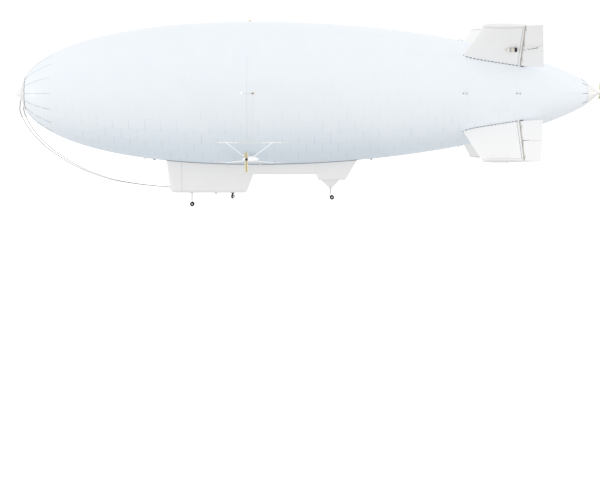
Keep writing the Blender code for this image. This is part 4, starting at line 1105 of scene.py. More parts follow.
def draw_belly(name, rows, material):
    """A body under the hull from its side outline, with its edges rounded by the weights given for them.

    columns: station, height, half width, weight of the side edge to the next corner, weight of the cross edge
    """
    shape = bmesh.new()
    sides = [[shape.verts.new((row[0], side * row[2], row[1])) for row in rows] for side in (-1, 1)]
    weight = shape.edges.layers.float.new("bevel_weight_edge")
    shape.faces.new(sides[0])
    shape.faces.new(list(reversed(sides[1])))
    count = len(rows)
    for i in range(count):
        j = (i + 1) % count
        shape.faces.new((sides[0][i], sides[0][j], sides[1][j], sides[1][i]))
    bmesh.ops.recalc_face_normals(shape, faces=shape.faces)
    for i, row in enumerate(rows):
        j = (i + 1) % count
        for side in sides:
            shape.edges.get((side[i], side[j]))[weight] = row[3]
        shape.edges.get((sides[0][i], sides[1][i]))[weight] = row[4]
    piece = made_from(name, shape, material)
    finish_with(piece, "BEVEL", limit_method="WEIGHT", width=BELLY_ROUNDING, segments=8)
    return piece


def trim(piece, cutter, keep_cutter=True):
    """Cuts a piece by another and smooths it again."""
    finish_with(piece, "BOOLEAN", operation="DIFFERENCE", object=cutter)
    bpy.ops.object.shade_smooth_by_angle(angle=math.radians(25))
    if not keep_cutter:
        bpy.data.objects.remove(cutter)


# Moulded fairing: satin white gel-coat, neutral, with soft panel tones about a metre across, fine orange peel
# and road dust towards its floor.
fairing_white, tree, shader, ship = start_material("white_fairing_gelcoat", 0.35, IOR=1.5, Coat_Weight=0.15)
across = add_node(tree, "ShaderNodeSeparateXYZ", {}, {"Vector": ship})
dust = add_node(
    tree,
    "ShaderNodeMapRange",
    {"interpolation_type": "SMOOTHSTEP"},
    {"Value": across.outputs["Z"], "From Min": -9.40, "From Max": -9.48, "To Max": 0.25},
).outputs["Result"]
dusty = add_node(
    tree,
    "ShaderNodeMix",
    {"data_type": "RGBA"},
    {0: dust, 6: mottle(tree, ship, 0.8, "F2F1F1", "F7F6F5"), 7: linear("EBEAE7")},
).outputs[2]
tree.links.new(dusty, shader.inputs["Base Color"])
grain(tree, shader, ship, 14, 0.06, 0.01)

# Rubber seal: matt dark grey with a bluish bloom. The same grey is laid along the hull joint as painted
# shadow.
seal_and_shadow_rubber = mottled_material("grey_rubber_seal_and_shadow", 0.75, (3, "6F7882", "98A1AA"), (30, 0.3, 0.006))

belly_rows = [(12 + 0.5 * i, hull_radius(12 + 0.5 * i) + SEAT_GAP) for i in range(47)]
belly_cutter = draw_round("belly_cutter", belly_rows, 192, fairing_white)
gondola_rows = [
    (14.76, GONDOLA_FLOOR, 0.90, 1.0, 1.0),
    (GONDOLA_BACK[0], GONDOLA_FLOOR, 0.90, 0.25, 0.55),
    (GONDOLA_BACK[1], BELLY_TOP, GONDOLA_WIDTH / 2, 0.0, 0.0),
    (14.31, BELLY_TOP, GONDOLA_WIDTH / 2, 0.9, 0.0),
]
for name, node, cut in (
    ("gondola_nose", "gondola_nose_cap", (GONDOLA_SPLIT - JOINT_HALF_GAP, 30)),
    ("gondola_cabin", "gondola_body", (10, GONDOLA_SPLIT + JOINT_HALF_GAP)),
):
    gondola = draw_belly(name, gondola_rows, fairing_white)
    trim(gondola, draw_box("other_half", cut, (-3, 3), (-12, -3), fairing_white), keep_cutter=False)
    trim(gondola, belly_cutter)
    fittings = []
    if node == "gondola_nose_cap":
        for side in (-1, 1):
            anchor_back, anchor_end = on_side(ANCHOR_BACK, side), on_side(ANCHOR_END, side)
            fittings.append(draw_tube("line_anchor", [anchor_back, anchor_end], LINE_EYE_RADIUS, gelcoat, 4))
            ring = [anchor_end.lerp(anchor_back, share) for share in (0.08, 0.22)]
            fittings.append(draw_tube("anchor_ring", ring, LINE_EYE_RADIUS + 0.012, hinge_metal, 4))
    else:
        # a strip of seal closes the joint between the two
        for side in (-1, 1):
            strip = [(GONDOLA_SPLIT, side * 0.935, -6.9), (GONDOLA_SPLIT, side * 0.90, -9.1)]
            fittings.append(draw_tube("joint_seal", strip, 0.006, seal_and_shadow_rubber))
            rail = [(x, side * 0.932, KEEL_FLOOR) for x in (21.45, 22.66)]
            fittings.append(draw_tube("keel_line", rail, 0.020, gelcoat))
    settle(join(f"{name}_with_fittings", [gondola, *fittings]), "ship", "white_composite", node)

slope = (GONDOLA_BACK[1] - GONDOLA_BACK[0]) / (BELLY_TOP - GONDOLA_FLOOR)
keel_front = GONDOLA_BACK[0] + slope * (KEEL_FLOOR - GONDOLA_FLOOR) - KEEL_OVERLAP
keel_rows = [
    (keel_front, KEEL_FLOOR, BELLY_HALF_WIDTH - KEEL_INSET, 0.45, 0.0),
    (KEEL_BACK, KEEL_FLOOR, BELLY_HALF_WIDTH - KEEL_INSET, 0.0, 0.0),
    (KEEL_BACK, BELLY_TOP, GONDOLA_WIDTH / 2 - KEEL_INSET, 0.0, 0.0),
    (GONDOLA_BACK[1] - KEEL_OVERLAP, BELLY_TOP, GONDOLA_WIDTH / 2 - KEEL_INSET, 0.0, 0.0),
]
keel = draw_belly("keel", keel_rows, fairing_white)
trim(keel, belly_cutter)
fairing_rows = [
    (KEEL_BACK + 0.006, BELLY_TOP - 0.3, GONDOLA_WIDTH / 2, 0.0, 0.0),
    (KEEL_BACK + 0.006, KEEL_FLOOR + 0.01, BELLY_HALF_WIDTH, 0.25, 0.0),
    (28.92, FAIRING_FLOOR, 0.90, 0.45, 0.2),
    (31.50, FAIRING_FLOOR + 0.05, 0.90, 0.25, 0.2),
    (32.75, -6.05, GONDOLA_WIDTH / 2, 0.0, 0.0),
]
aft_fairing = draw_belly("aft_fairing_shell", fairing_rows, fairing_white)
trim(aft_fairing, belly_cutter)
wedge_rings = [
    [(29.15, -0.62, height), (29.15, 0.62, height), (30.90, 0.62, height), (30.90, -0.62, height)]
    for height in (FAIRING_FLOOR + 0.12, FAIRING_FLOOR - 0.01)
]
wedge_tip = ((-0.14, -0.16), (-0.14, 0.16), (0.16, 0.16), (0.16, -0.16))
wedge_rings.append([(FAIRING_APEX[0] + x, y, FAIRING_APEX[1]) for x, y in wedge_tip])
wedge = draw_loft("gear_wedge", wedge_rings, fairing_white, 20)
finish_with(wedge, "BEVEL", width=0.03, segments=3, limit_method="ANGLE", angle_limit=math.radians(30))
# painted shadow: a dark grey strip along each side where the fairing meets the envelope
joint_shadow_strips = []
for front, back in JOINT_SHADOW_STATIONS:
    for side in (-1, 1):
        bead = []
        for i in range(25):
            station = front + (back - front) * i / 24
            half = GONDOLA_WIDTH / 2 + JOINT_SHADOW_STANDOFF
            radius = hull_radius(station) + JOINT_SHADOW_STANDOFF
            bead.append((station, side * half, -math.sqrt(radius**2 - half**2)))
        joint_shadow_strips.append(draw_tube("hull_joint_shadow_strip", bead, JOINT_SHADOW_RADIUS, seal_and_shadow_rubber))
settle(join("keel_with_front_seals", [keel, *joint_shadow_strips[:2]]), "ship", "white_composite", "keel_fairing")
aft_fairing = join("aft_fairing_with_seals", [aft_fairing, wedge, *joint_shadow_strips[2:]])
settle(aft_fairing, "ship", "white_composite", "aft_fairing")
bpy.data.objects.remove(belly_cutter)

# A blade aerial of white glass fibre stands under the gondola's floor on a small oval foot.
AERIAL_STATION = 19.07
FOOT_NARROWNESS = 0.35


def oval_ring(station, reach, half_width, height, count):
    """A level oval about the ship's middle plane."""
    turns = [2 * math.pi * i / count for i in range(count)]
    return [Vector((station + reach * math.cos(turn), half_width * math.sin(turn), height)) for turn in turns]


aerial_top = GONDOLA_FLOOR - SEAT_GAP
# columns: half chord, half thickness, how far it leans aft, height
AERIAL_ROWS = [
    (0.16, 0.020, 0.0, aerial_top),
    (0.13, 0.017, 0.02, aerial_top - 0.11),
    (0.10, 0.012, 0.03, aerial_top - 0.20),
    (0.05, 0.006, 0.04, aerial_top - 0.22),
]
rings = [oval_ring(AERIAL_STATION + lean, chord, thick, z, 20) for chord, thick, lean, z in AERIAL_ROWS]
aerial = draw_loft("aerial_blade", rings, gelcoat)
foot_rows = ((0.20, aerial_top), (0.19, aerial_top - 0.012))
rings = [oval_ring(AERIAL_STATION, reach, FOOT_NARROWNESS * reach, z, 24) for reach, z in foot_rows]
foot = draw_loft("aerial_foot", rings, hinge_metal)
settle(join("belly_aerial", [aerial, foot]), "ship", "white_composite", "belly_blade")

# Each gear is one enamelled tube on a bolted flange. Below it a fork casters on a pin and trails or leads two
# small wheels on one axle: black treaded tyres on black discs, each with a white hub cap.
LEG_RADIUS = 0.065
LEG_FLANGE_RADIUS = 0.15
# columns: name, swivel's station, seat's height, leg's lowest height, wheels' place, track
GEARS = [
    ("front_gear", 16.78, GONDOLA_FLOOR, -10.02, FRONT_WHEEL, 0.37),
    ("rear_gear", *FAIRING_APEX, -9.34, REAR_WHEEL, 0.31),
]
TYRE_WIDTH = 0.17
AXLE_BOSS_HALF = 0.085
# columns of a wheel's parts: share of the half width, radius; the tyre and disc are mirrored, the cap is not
TYRE_ROWS = [
    (-0.80, 0.125),
    (-0.98, 0.140),
    (-1.0, 0.160),
    (-0.93, 0.185),
    (-0.76, 0.202),
    (-0.55, 0.208),
    (-0.36, 0.2095),
    (-0.34, 0.200),
    (-0.26, 0.200),
    (-0.24, 0.2098),
]
DISC_ROWS = [(-0.86, 0.04), (-0.86, 0.060), (-0.74, 0.070), (-0.70, 0.100), (-0.86, 0.118), (-0.86, 0.130)]
HUB_CAP_ROWS = [(0.70, 0.070), (0.86, 0.068), (0.95, 0.060), (1.0, 0.040)]


def mirrored(rows):
    """The rows of one half of a round body, and their mirror after them."""
    return rows + [(-place, radius) for place, radius in reversed(rows)]


# Enamelled steel tube: satin tan-grey, weathered a little lighter in patches.
leg_enamel = mottled_material("tan_grey_enamelled_tube", 0.4, (12, "B5B0A3", "CDC9BF"), (50, 0.2, 0.003))
# Tyre rubber: black and dead matt, with a scuffed grain of 14 mm.
tyre_rubber = mottled_material("black_tyre_rubber", 0.9, (20, "060606", "101010"), (70, 0.5, 0.004), IOR=1.25)

for gear, swivel, seat, leg_bottom, (wheel_x, wheel_z), track in GEARS:
    seat -= SEAT_GAP
    centre = (swivel, 0, 0)
    flange_rows = [(seat - 0.04, LEG_RADIUS), (seat - 0.038, 0.142)]
    flange_rows += [(seat - 0.032, LEG_FLANGE_RADIUS), (seat, LEG_FLANGE_RADIUS)]
    flange = draw_round("leg_flange", flange_rows, 48, leg_enamel, "Z", centre)
    leg_rows = [(leg_bottom, 0.05), (leg_bottom + 0.001, 0.062), (leg_bottom + 0.008, LEG_RADIUS)]
    leg_rows += [(leg_bottom + 0.06, LEG_RADIUS), (leg_bottom + 0.065, 0.055), (seat - 0.09, 0.055)]
    leg_rows += [(seat - 0.04, 0.075), (seat - 0.035, 0.075)]
    leg = [flange, draw_round("leg_tube", leg_rows, 32, leg_enamel, "Z", centre)]
    for i in range(6):
        turn = math.pi * (i + 0.5) / 3
        bolt = [(swivel + 0.115 * math.cos(turn), 0.115 * math.sin(turn), seat - z) for z in (0.03, 0.058)]
        leg.append(draw_tube("flange_bolt", bolt, 0.014, steel, 1))
    settle(join(f"{gear}_leg_tube", leg), "ship", "white_tube", f"{gear}_leg")

    top = leg_bottom - SEAT_GAP
    wheel_centre = (wheel_x, 0, wheel_z)
    pin_rows = [(top - 0.14, 0.03), (top - 0.138, 0.046), (top - 0.13, 0.05), (top - 0.01, 0.05)]
    pin = draw_round("swivel_pin", [*pin_rows, (top, 0.045)], 32, leg_enamel, "Z", centre)
    arm = draw_tube("fork_arm", [(swivel, 0, top - 0.11), wheel_centre], 0.042, leg_enamel, 4)
    boss_rows = mirrored([(-AXLE_BOSS_HALF, 0.045), (-AXLE_BOSS_HALF, 0.062)])
    boss = draw_round("axle_boss", boss_rows, 32, steel, "Y", wheel_centre)
    tab = draw_box(
        "tow_tab", (swivel - 0.17, swivel), about(0, 0.018), (top - 0.118, top - 0.082), leg_enamel, 0.006
    )
    ring = [(swivel - 0.145, y, top - 0.10) for y in about(0, 0.02)]
    fork = [pin, arm, boss, tab, draw_tube("tow_ring", ring, 0.014, steel, 3)]
    settle(join(f"{gear}_fork_with_boss", fork), f"{gear}_fork", "white_tube", f"{gear}_fork")

    wheels = [draw_tube("axle", [(wheel_x, y, wheel_z) for y in about(0, track / 2)], 0.029, steel, 5)]
    for side in (-1, 1):
        for name, rows, sides, material, facing in (
            ("tyre", mirrored(TYRE_ROWS), 64, tyre_rubber, 1),
            ("wheel_disc", mirrored(DISC_ROWS), 64, tyre_rubber, 1),
            ("hub_cap", HUB_CAP_ROWS, 32, gelcoat, side),
        ):
            rows = [(side * track / 2 + facing * TYRE_WIDTH / 2 * place, radius) for place, radius in rows]
            wheels.append(draw_round(name, rows, sides, material, "Y", wheel_centre))
    settle(join(f"{gear}_twin_wheels", wheels), f"{gear}_wheels", "tyre_rubber", f"{gear}_wheels")

# A camera ball hangs under the gondola in a yoke that turns on a round plate: black, with a dark flat window.
# A pale grey patch on its upper front and white patches on its flanks are painted highlights.
SENSOR_STATION = 20.69
SENSOR_HEIGHT = -9.84
SENSOR_RADIUS = 0.215
SENSOR_CLEARANCE = 0.012
SENSOR_ARM = 0.035
SHELL_HALF_WIDTH = 0.205
# Painted cast aluminium: pale grey, with a fine cast grain of 18 mm. On the camera ball it is laid over the
# upper front as a painted highlight.
grey_shell_and_highlight = mottled_material(
    "pale_grey_shell_and_highlight", 0.35, (14, "A3A6A8", "BFC2C4"), (55, 0.25, 0.003), metallic=0.2
)
# Coated optical glass: nearly black with a violet bloom, and glossy.
window = mottled_material(
    "coated_window_glass", 0.08, (6, "0C0E16", "191526"), (4, 0.02, 0.002), IOR=1.7, Coat_Weight=0.8
)

plate_top = GONDOLA_FLOOR - SEAT_GAP
plate_bottom = plate_top - 0.08
plate_rows = [(plate_bottom, 0.15), (plate_bottom + 0.008, 0.165)]
plate_rows += [(plate_top - 0.02, 0.17), (plate_top, 0.17)]
mount = [draw_round("sensor_plate", plate_rows, 48, black_metal, "Z", (SENSOR_STATION, 0, 0))]
face = SENSOR_RADIUS + SENSOR_CLEARANCE
reach = face + SENSOR_ARM
mount.append(draw_box(
    "yoke_bridge",
    about(SENSOR_STATION, 0.085),
    about(0, reach),
    (plate_bottom - SENSOR_ARM, plate_bottom + 0.01),
    black_metal,
    0.010,
))
for side in (-1, 1):
    arm_rows = []
    for i in range(25):
        turn = math.pi * i / 24
        arm_rows.append((SENSOR_STATION + 0.07 * math.cos(turn), SENSOR_HEIGHT - 0.07 * math.sin(turn)))
    arm_rows += [(x, plate_bottom - 0.01) for x in about(SENSOR_STATION, 0.08)]
    arm = draw_loft("yoke_arm", [[(x, side * y, z) for x, z in arm_rows] for y in (face, reach)], black_metal)
    finish_with(arm, "BEVEL", width=0.006, segments=2, limit_method="ANGLE", angle_limit=math.radians(40))
    mount.append(arm)
    cap = [(SENSOR_STATION, side * y, SENSOR_HEIGHT) for y in (reach - 0.002, reach + 0.012)]
    mount.append(draw_tube("yoke_bearing_cap", cap, 0.042, steel, 4))
settle(join("sensor_yoke", mount), "sensor_mount", "dark_metal", "sensor_mount")

ball_rows = []
for i in range(1, 32):
    turn = math.pi * i / 32
    ball_rows.append((-SENSOR_RADIUS * math.cos(turn), SENSOR_RADIUS * math.sin(turn)))
ball_rows = [(place, radius) for place, radius in ball_rows if abs(place) < SHELL_HALF_WIDTH]
ball_centre = (SENSOR_STATION, 0, SENSOR_HEIGHT)
ball = draw_round("sensor_shell", ball_rows, 64, black_metal, "Y", ball_centre)
ball.data.materials.append(grey_shell_and_highlight)
ball.data.materials.append(gelcoat)
# painted highlights: pale grey on the upper front, where the light falls, and white on the flanks aft of the
# middle as a glint
for polygon in ball.data.polygons:
    middle = polygon.center
    if middle.x < -0.10 and middle.z > -0.08:
        polygon.material_index = 1
    if 0.06 < middle.x < 0.16 and -0.12 < middle.z < 0.05:
        polygon.material_index = 2
trim(
    ball,
    draw_box(
        "window_cut",
        (SENSOR_STATION - 0.30, SENSOR_STATION - 0.190),
        about(0, 0.20),
        about(SENSOR_HEIGHT, 0.20),
        black_metal,
    ),
    keep_cutter=False,
)
glass_rows = [(-0.185, 0.085), (-0.200, 0.082), (-0.203, 0.07), (-0.200, 0.02)]
glass = draw_round("sensor_window", glass_rows, 48, window, "X", ball_centre)
pivots = []
for side in (-1, 1):
    pivot = [(SENSOR_STATION, side * y, SENSOR_HEIGHT) for y in (0.19, face - 0.002)]
    pivots.append(draw_tube("ball_pivot", pivot, 0.045, steel, 4))
settle(join("sensor_ball_with_window", [ball, glass, *pivots]), "sensor_ball", "dark_metal", "sensor_ball")

# On each side two white rails lie along the hull on doubler pads. A pair of struts runs from each rail to a
# white box, and a cross tube runs out from the box to the tilting engine pod. A pod is a smooth white bullet
# with a square-edged front ring and two cooling slots in each flank.
POD_PIVOT = (22.45, 5.71, -6.06)
POD_LENGTH = (22.30, 23.36)
POD_RADIUS = 0.25
POD_BOSS_SIDE = 5.40
# columns: distance behind the pod's front, radius
POD_PROFILE = [
    (0.0, 0.10),
    (0.0, 0.165),
    (0.01, 0.175),
    (0.05, 0.205),
    (0.09, 0.222),
    (0.16, 0.238),
    (0.24, 0.247),
    (0.32, POD_RADIUS),
    (0.42, 0.243),
    (0.53, 0.222),
    (0.66, 0.182),
    (0.80, 0.130),
    (0.93, 0.078),
    (1.01, 0.047),
]
DRIVE_BOX_X = (21.92, 22.85)
DRIVE_BOX_Y = (3.71, 4.37)
DRIVE_BOX_Z = (-6.32, -5.97)
DRIVE_TUBE_RADIUS = 0.05
DRIVE_COLLAR_RADIUS = 0.09
STRUT_RADIUS = 0.05
STRUT_INSET = 0.15
# columns: width, height of the flat pieces that lie on the hull
RAIL_SIZE = (0.10, 0.04)
RAIL_PAD_SIZE = (0.15, 0.030)
RAIL_CLAMP_SIZE = (0.15, 0.055)
STRUT_BRACKET_SIZE = (0.13, 0.08)
# columns: name, rail's roll, its stations, pads' stations, struts' stations on it, strut end: side, height
DRIVE_FRAMES = [
    ("upper", 132.6, (18.87, 26.28), ((19.6, 21.3), (23.6, 25.4)), (20.35, 24.48), (4.22, -5.98)),
    ("lower", 164.0, (18.95, 25.90), ((19.6, 20.9), (24.0, 25.3)), (20.25, 24.55), (3.74, -6.26)),
]

# Enamelled strut tube: bright white, smooth, with a slight run along the tube, and a faint glow of painted
# light that keeps it whiter than the shaded hull.
self_lit_white = mottled_material(
    "self_lit_white_enamel", 0.3, (5, "F7F8FA", "FDFDFE"), (25, 0.08, 0.004), IOR=1.5, Emission_Strength=0.09
)


def draw_hull_band(name, roll, front, back, width, height, steps, material):
    """A flat band that lies along the hull at one roll angle, with its long edges rounded off."""
    # columns: share of the half width, share of the height
    shape = [(-1, -0.3), (-1, 0.5), (-0.85, 0.9), (-0.6, 1.0), (0.6, 1.0), (0.85, 0.9), (1, 0.5), (1, -0.3)]
    sections = []
    for i in range(steps + 1):
        station = front + (back - front) * i / steps
        sections.append([on_hull(station, roll, height * lift, width / 2 * across) for across, lift in shape])
    return draw_loft(name, sections, material, 50)


for place, side in (("port", -1), ("starboard", 1)):
    pivot_x, pivot_y, pivot_z = POD_PIVOT
    inside_box = Vector((pivot_x, side * sum(DRIVE_BOX_Y) / 2, sum(DRIVE_BOX_Z) / 2))
    for level, roll, rail, pads, feet, (end_y, end_z) in DRIVE_FRAMES:
        pieces = [draw_hull_band(f"{level}_rail", side * roll, *rail, *RAIL_SIZE, 24, gelcoat)]
        for front, back in pads:
            pad = draw_hull_band("rail_pad", side * roll, front, back, *RAIL_PAD_SIZE, 8, self_lit_white)
            pieces.append(pad)
            for end in (front + 0.08, back - 0.08):
                clamp = draw_hull_band(
                    "rail_clamp", side * roll, *about(end, 0.04), *RAIL_CLAMP_SIZE, 2, self_lit_white
                )
                pieces.append(clamp)
        for station, end_x in zip(feet, (DRIVE_BOX_X[0] + STRUT_INSET, DRIVE_BOX_X[1] - STRUT_INSET)):
            end = Vector((end_x, side * end_y, end_z))
            foot = on_hull(station, side * roll, 0.05)
            tip = end.lerp(inside_box, 0.04)
            pieces.append(draw_tube(f"{level}_strut", [foot, tip], STRUT_RADIUS * 0.9, self_lit_white, 4))
            for shares in ((0.0, 0.05), (0.95, 1.0)):
                socket = [foot.lerp(tip, share) for share in shares]
                pieces.append(draw_tube("strut_socket", socket, STRUT_RADIUS * 1.25, self_lit_white, 4))
            bracket = draw_hull_band(
                "strut_bracket", side * roll, *about(station, 0.10), *STRUT_BRACKET_SIZE, 2, self_lit_white
            )
            pieces.append(bracket)
        settle(join(f"{place}_{level}_frame", pieces), "ship", "white_tube", f"{place}_{level}_struts")

    y_limits = tuple(sorted(side * y for y in DRIVE_BOX_Y))
    box = draw_box("drive_case", DRIVE_BOX_X, y_limits, DRIVE_BOX_Z, gelcoat, 0.05)
    lid_limits = [(low + 0.09, high - 0.09) for low, high in (DRIVE_BOX_X, y_limits)]
    lid = draw_box("case_lid", *lid_limits, (DRIVE_BOX_Z[0] - 0.012, DRIVE_BOX_Z[0] + 0.02), gelcoat, 0.008)
    tube_start, tube_end = DRIVE_BOX_Y[1], POD_BOSS_SIDE - SEAT_GAP
    tube_rows = [(tube_start - 0.02, 0.085), (tube_start + 0.05, 0.085), (tube_start + 0.08, 0.06)]
    tube_rows += [(tube_start + 0.12, DRIVE_TUBE_RADIUS), (tube_end - 0.08, DRIVE_TUBE_RADIUS)]
    tube_rows += [(tube_end - 0.05, 0.08), (tube_end - 0.045, DRIVE_COLLAR_RADIUS)]
    tube_rows = [(side * y, radius) for y, radius in [*tube_rows, (tube_end, DRIVE_COLLAR_RADIUS)]]
    tube = draw_round("cross_tube", tube_rows, 32, self_lit_white, "Y", (pivot_x, 0, pivot_z))
    screws = []
    for x in lid_limits[0]:
        for y in lid_limits[1]:
            head = Vector((x * 0.9 + pivot_x * 0.1, y * 0.97 + inside_box.y * 0.03, DRIVE_BOX_Z[0] - 0.01))
            screws.append(draw_tube("lid_screw", [head, head - Vector((0, 0, 0.008))], 0.014, steel, 2))
    drive = join(f"{place}_drive_case", [box, lid, tube, *screws])
    settle(drive, "ship", "white_composite", f"{place}_drive_box")

    front, back = POD_LENGTH
    pod_rows = [(front + distance, radius) for distance, radius in POD_PROFILE] + [(back, 0.028)]
    pod_centre = (0, side * pivot_y, pivot_z)
    pod = draw_round("pod_shell", pod_rows, 48, self_lit_white, "X", pod_centre, smooth_angle=40)
    slots = []
    for height in (-0.06, 0.06):
        for flank in (-1, 1):
            middle = pivot_y * side + flank * 0.245
            slots.append(draw_box(
                "slot",
                (front + 0.20, front + 0.44),
                about(middle, 0.03),
                about(pivot_z + height, 0.014),
                black_metal,
                0.008,
            ))
    slot_cutter = join("slot_cutter", slots)
    trim(pod, slot_cutter, keep_cutter=False)
    boss_rows = [(POD_BOSS_SIDE, DRIVE_COLLAR_RADIUS - 0.008), (POD_BOSS_SIDE + 0.006, DRIVE_COLLAR_RADIUS)]
    boss_rows += [(POD_BOSS_SIDE + 0.08, DRIVE_COLLAR_RADIUS), (POD_BOSS_SIDE + 0.16, 0.12)]
    boss_rows = [(side * y, radius) for y, radius in boss_rows]
    boss = draw_round("pod_boss", boss_rows, 32, self_lit_white, "Y", (pivot_x, 0, pivot_z))
    seam = draw_round(
        "pod_seam",
        [(front + 0.475, 0.2335), (front + 0.475, 0.2365), (front + 0.485, 0.2345), (front + 0.485, 0.2315)],
        48,
        seal_and_shadow_rubber,
        "X",
        pod_centre,
    )
    settle(join(f"{place}_engine_pod", [pod, boss, seam]), f"{place}_pod", "white_composite", f"{place}_pod")

# Each propeller has three broad blades of laminated wood, pale tan-yellow with a sheathed leading edge and a
# dark line of painted shade down the crest of each face, near feather in a black hub. The side ones have a
# small white spinner, and the stern one a bright bowl with a grey tip.
SIDE_PROP_RADIUS = 1.24
SIDE_PROP_STATION = 22.17
STERN_PROP_RADIUS = 1.04
STERN_PROP_STATION = 55.88
BLADE_EDGE_RADIUS = 0.007
BLADE_LINE_RADIUS = 0.030

# Lacquered wood: satin with a clear coat, cream and tan laminations drawn out along each blade.
blade_wood, tree, shader, ship = start_material("lacquered_laminated_wood", 0.3, IOR=1.5, Coat_Weight=0.4)
along = add_node(
    tree, "ShaderNodeMapping", {}, {"Vector": ship, "Scale": (14.0, 3.0, 3.0)}
).outputs["Vector"]
laminate = add_node(
    tree, "ShaderNodeTexNoise", {}, {"Vector": along, "Scale": 2.2, "Detail": 5.0, "Distortion": 0.6}
).outputs["Fac"]
banded = add_node(
    tree,
    "ShaderNodeMix",
    {"data_type": "RGBA"},
    {0: laminate, 6: linear("DCCF9C"), 7: linear("F7F0D2")},
).outputs[2]
tree.links.new(banded, shader.inputs["Base Color"])
grain(tree, shader, along, 4, 0.1, 0.003)
# A dark brown line of painted shade along the crest of each blade face, under the same lacquer.
crest_shade_wood = mottled_material(
    "crest_shade_line", 0.4, (15, "7D6C45", "A08E62"), (30, 0.2, 0.002), Coat_Weight=0.4
)
# Leading edge sheath: smooth yellow film with a faint metallic sheen.
edge_brass = mottled_material(
    "yellow_sheathed_edge", 0.35, (12, "F0DF96", "F8EDB8"), (40, 0.15, 0.002), metallic=0.1
)

# columns: share of the radius, chord, thickness, twist
BLADE_ROWS = [
    (0.08, 0.12, 0.08, 80),
    (0.14, 0.19, 0.075, 78),
    (0.24, 0.30, 0.060, 74),
    (0.38, 0.345, 0.050, 70),
    (0.60, 0.37, 0.040, 66),
    (0.75, 0.345, 0.030, 64),
    (0.90, 0.30, 0.024, 62),
    (0.97, 0.26, 0.020, 60),
    (1.0, 0.20, 0.012, 60),
]
# columns: share of the chord, share of the thickness; a cambered section from its leading edge round
BLADE_SECTION = [
    (-0.5, 0.0),
    (-0.47, 0.30),
    (-0.38, 0.46),
    (-0.2, 0.55),
    (0.0, 0.52),
    (0.2, 0.38),
    (0.38, 0.18),
    (0.5, 0.03),
    (0.5, -0.03),
    (0.38, -0.16),
    (0.2, -0.30),
    (0.0, -0.38),
    (-0.2, -0.42),
    (-0.38, -0.36),
    (-0.47, -0.24),
]


def draw_blades(centre, radius, first_roll, hand):
    """Three twisted blades with their sheathed leading edges, round a hub's centre."""
    blades = []
    sections = []
    edge = []
    creases = ([], [])
    for share, chord, thickness, twist in BLADE_ROWS:
        turn = math.radians(twist) * hand
        ring = []
        for along, depth in BLADE_SECTION:
            x, y = depth * thickness, along * chord
            ring.append(Vector((
                x * math.cos(turn) - y * math.sin(turn),
                x * math.sin(turn) + y * math.cos(turn),
                share * radius,
            )))
        sections.append(ring)
        if share > 0.5:
            edge.append(ring[0])
        if share < 1.0:
            creases[0].append(ring[4])
            creases[1].append(ring[11])
    # the dark lines along each face's crest are painted shade
    blade = join("blade", [
        draw_loft("blade_body", sections, blade_wood, 50),
        draw_tube("blade_edge", edge, BLADE_EDGE_RADIUS, edge_brass),
        *(draw_tube("blade_line", crease, BLADE_LINE_RADIUS, crest_shade_wood) for crease in creases),
    ])
    for i in range(3):
        copy = rolled_copy("blade", blade, first_roll + 120 * i)
        copy.data.transform(Matrix.Translation(centre))
        blades.append(copy)
    bpy.data.objects.remove(blade)
    return blades


for place, side in (("port", -1), ("starboard", 1)):
    centre = (SIDE_PROP_STATION, side * POD_PIVOT[1], POD_PIVOT[2])
    hub_back = POD_LENGTH[0] - SEAT_GAP - SIDE_PROP_STATION
    hub_rows = [(-0.10, 0.10), (-0.095, 0.135), (-0.07, 0.148), (0.05, 0.148), (0.07, 0.13), (hub_back, 0.12)]
    hub = draw_round("propeller_hub", hub_rows, 48, black_metal, "X", centre)
    spinner_rows = [(-0.375, 0.012), (-0.37, 0.03), (-0.33, 0.055), (-0.26, 0.085)]
    spinner_rows += [(-0.18, 0.108), (-0.10, 0.118)]
    spinner = draw_round("spinner", spinner_rows, 48, self_lit_white, "X", centre, smooth_angle=50)
    blades = draw_blades(Vector(centre), SIDE_PROP_RADIUS, 180, side)
    propeller = join(f"{place}_wooden_propeller", [hub, spinner, *blades])
    settle(propeller, f"{place}_propeller", "tan_blade", f"{place}_propeller")

centre = (STERN_PROP_STATION, 0, 0)
hub_front = TAIL_CONE_BACK + SEAT_GAP - STERN_PROP_STATION
spacer_rows = [(hub_front, 0.12), (hub_front + 0.01, 0.13), (-0.075, 0.135), (-0.07, 0.13)]
spacer = draw_round("stern_hub_spacer", spacer_rows, 48, gelcoat, "X", centre)
hub_rows = [(-0.072, 0.13), (-0.06, 0.14), (0.06, 0.155), (0.10, 0.165)]
hub = draw_round("stern_hub", hub_rows, 48, black_metal, "X", centre)
bowl_rows = [(0.10, 0.15), (0.13, 0.19), (0.165, 0.213), (0.18, 0.218)]
bowl = draw_round("spinner_bowl", bowl_rows, 48, steel, "X", centre, smooth_angle=50)
tip_rows = [(0.18, 0.210), (0.22, 0.213), (0.26, 0.208), (0.30, 0.185)]
tip_rows += [(0.335, 0.145), (0.36, 0.095), (0.369, 0.04)]
tip = draw_round("spinner_tip", tip_rows, 48, grey_shell_and_highlight, "X", centre, smooth_angle=50)
blades = draw_blades(Vector(centre), STERN_PROP_RADIUS, 0, 1)
propeller = join("stern_wooden_propeller", [spacer, hub, bowl, tip, *blades])
settle(propeller, "stern_propeller", "tan_blade", "stern_propeller")

# Small things on the envelope: a beacon on top, an amber lamp and its white pickup on each flank, two taped
# conduits down to each side drive, a doubler patch under the chin, and three small fittings on the belly.
# Doubler cloth: the envelope's laminate in a second layer, a shade apart and less glossy.
patch_cloth = mottled_material("doubler_patch_cloth", 0.5, (2, "E6EEF5", "EDF4FA"), (12, 0.2, 0.004))
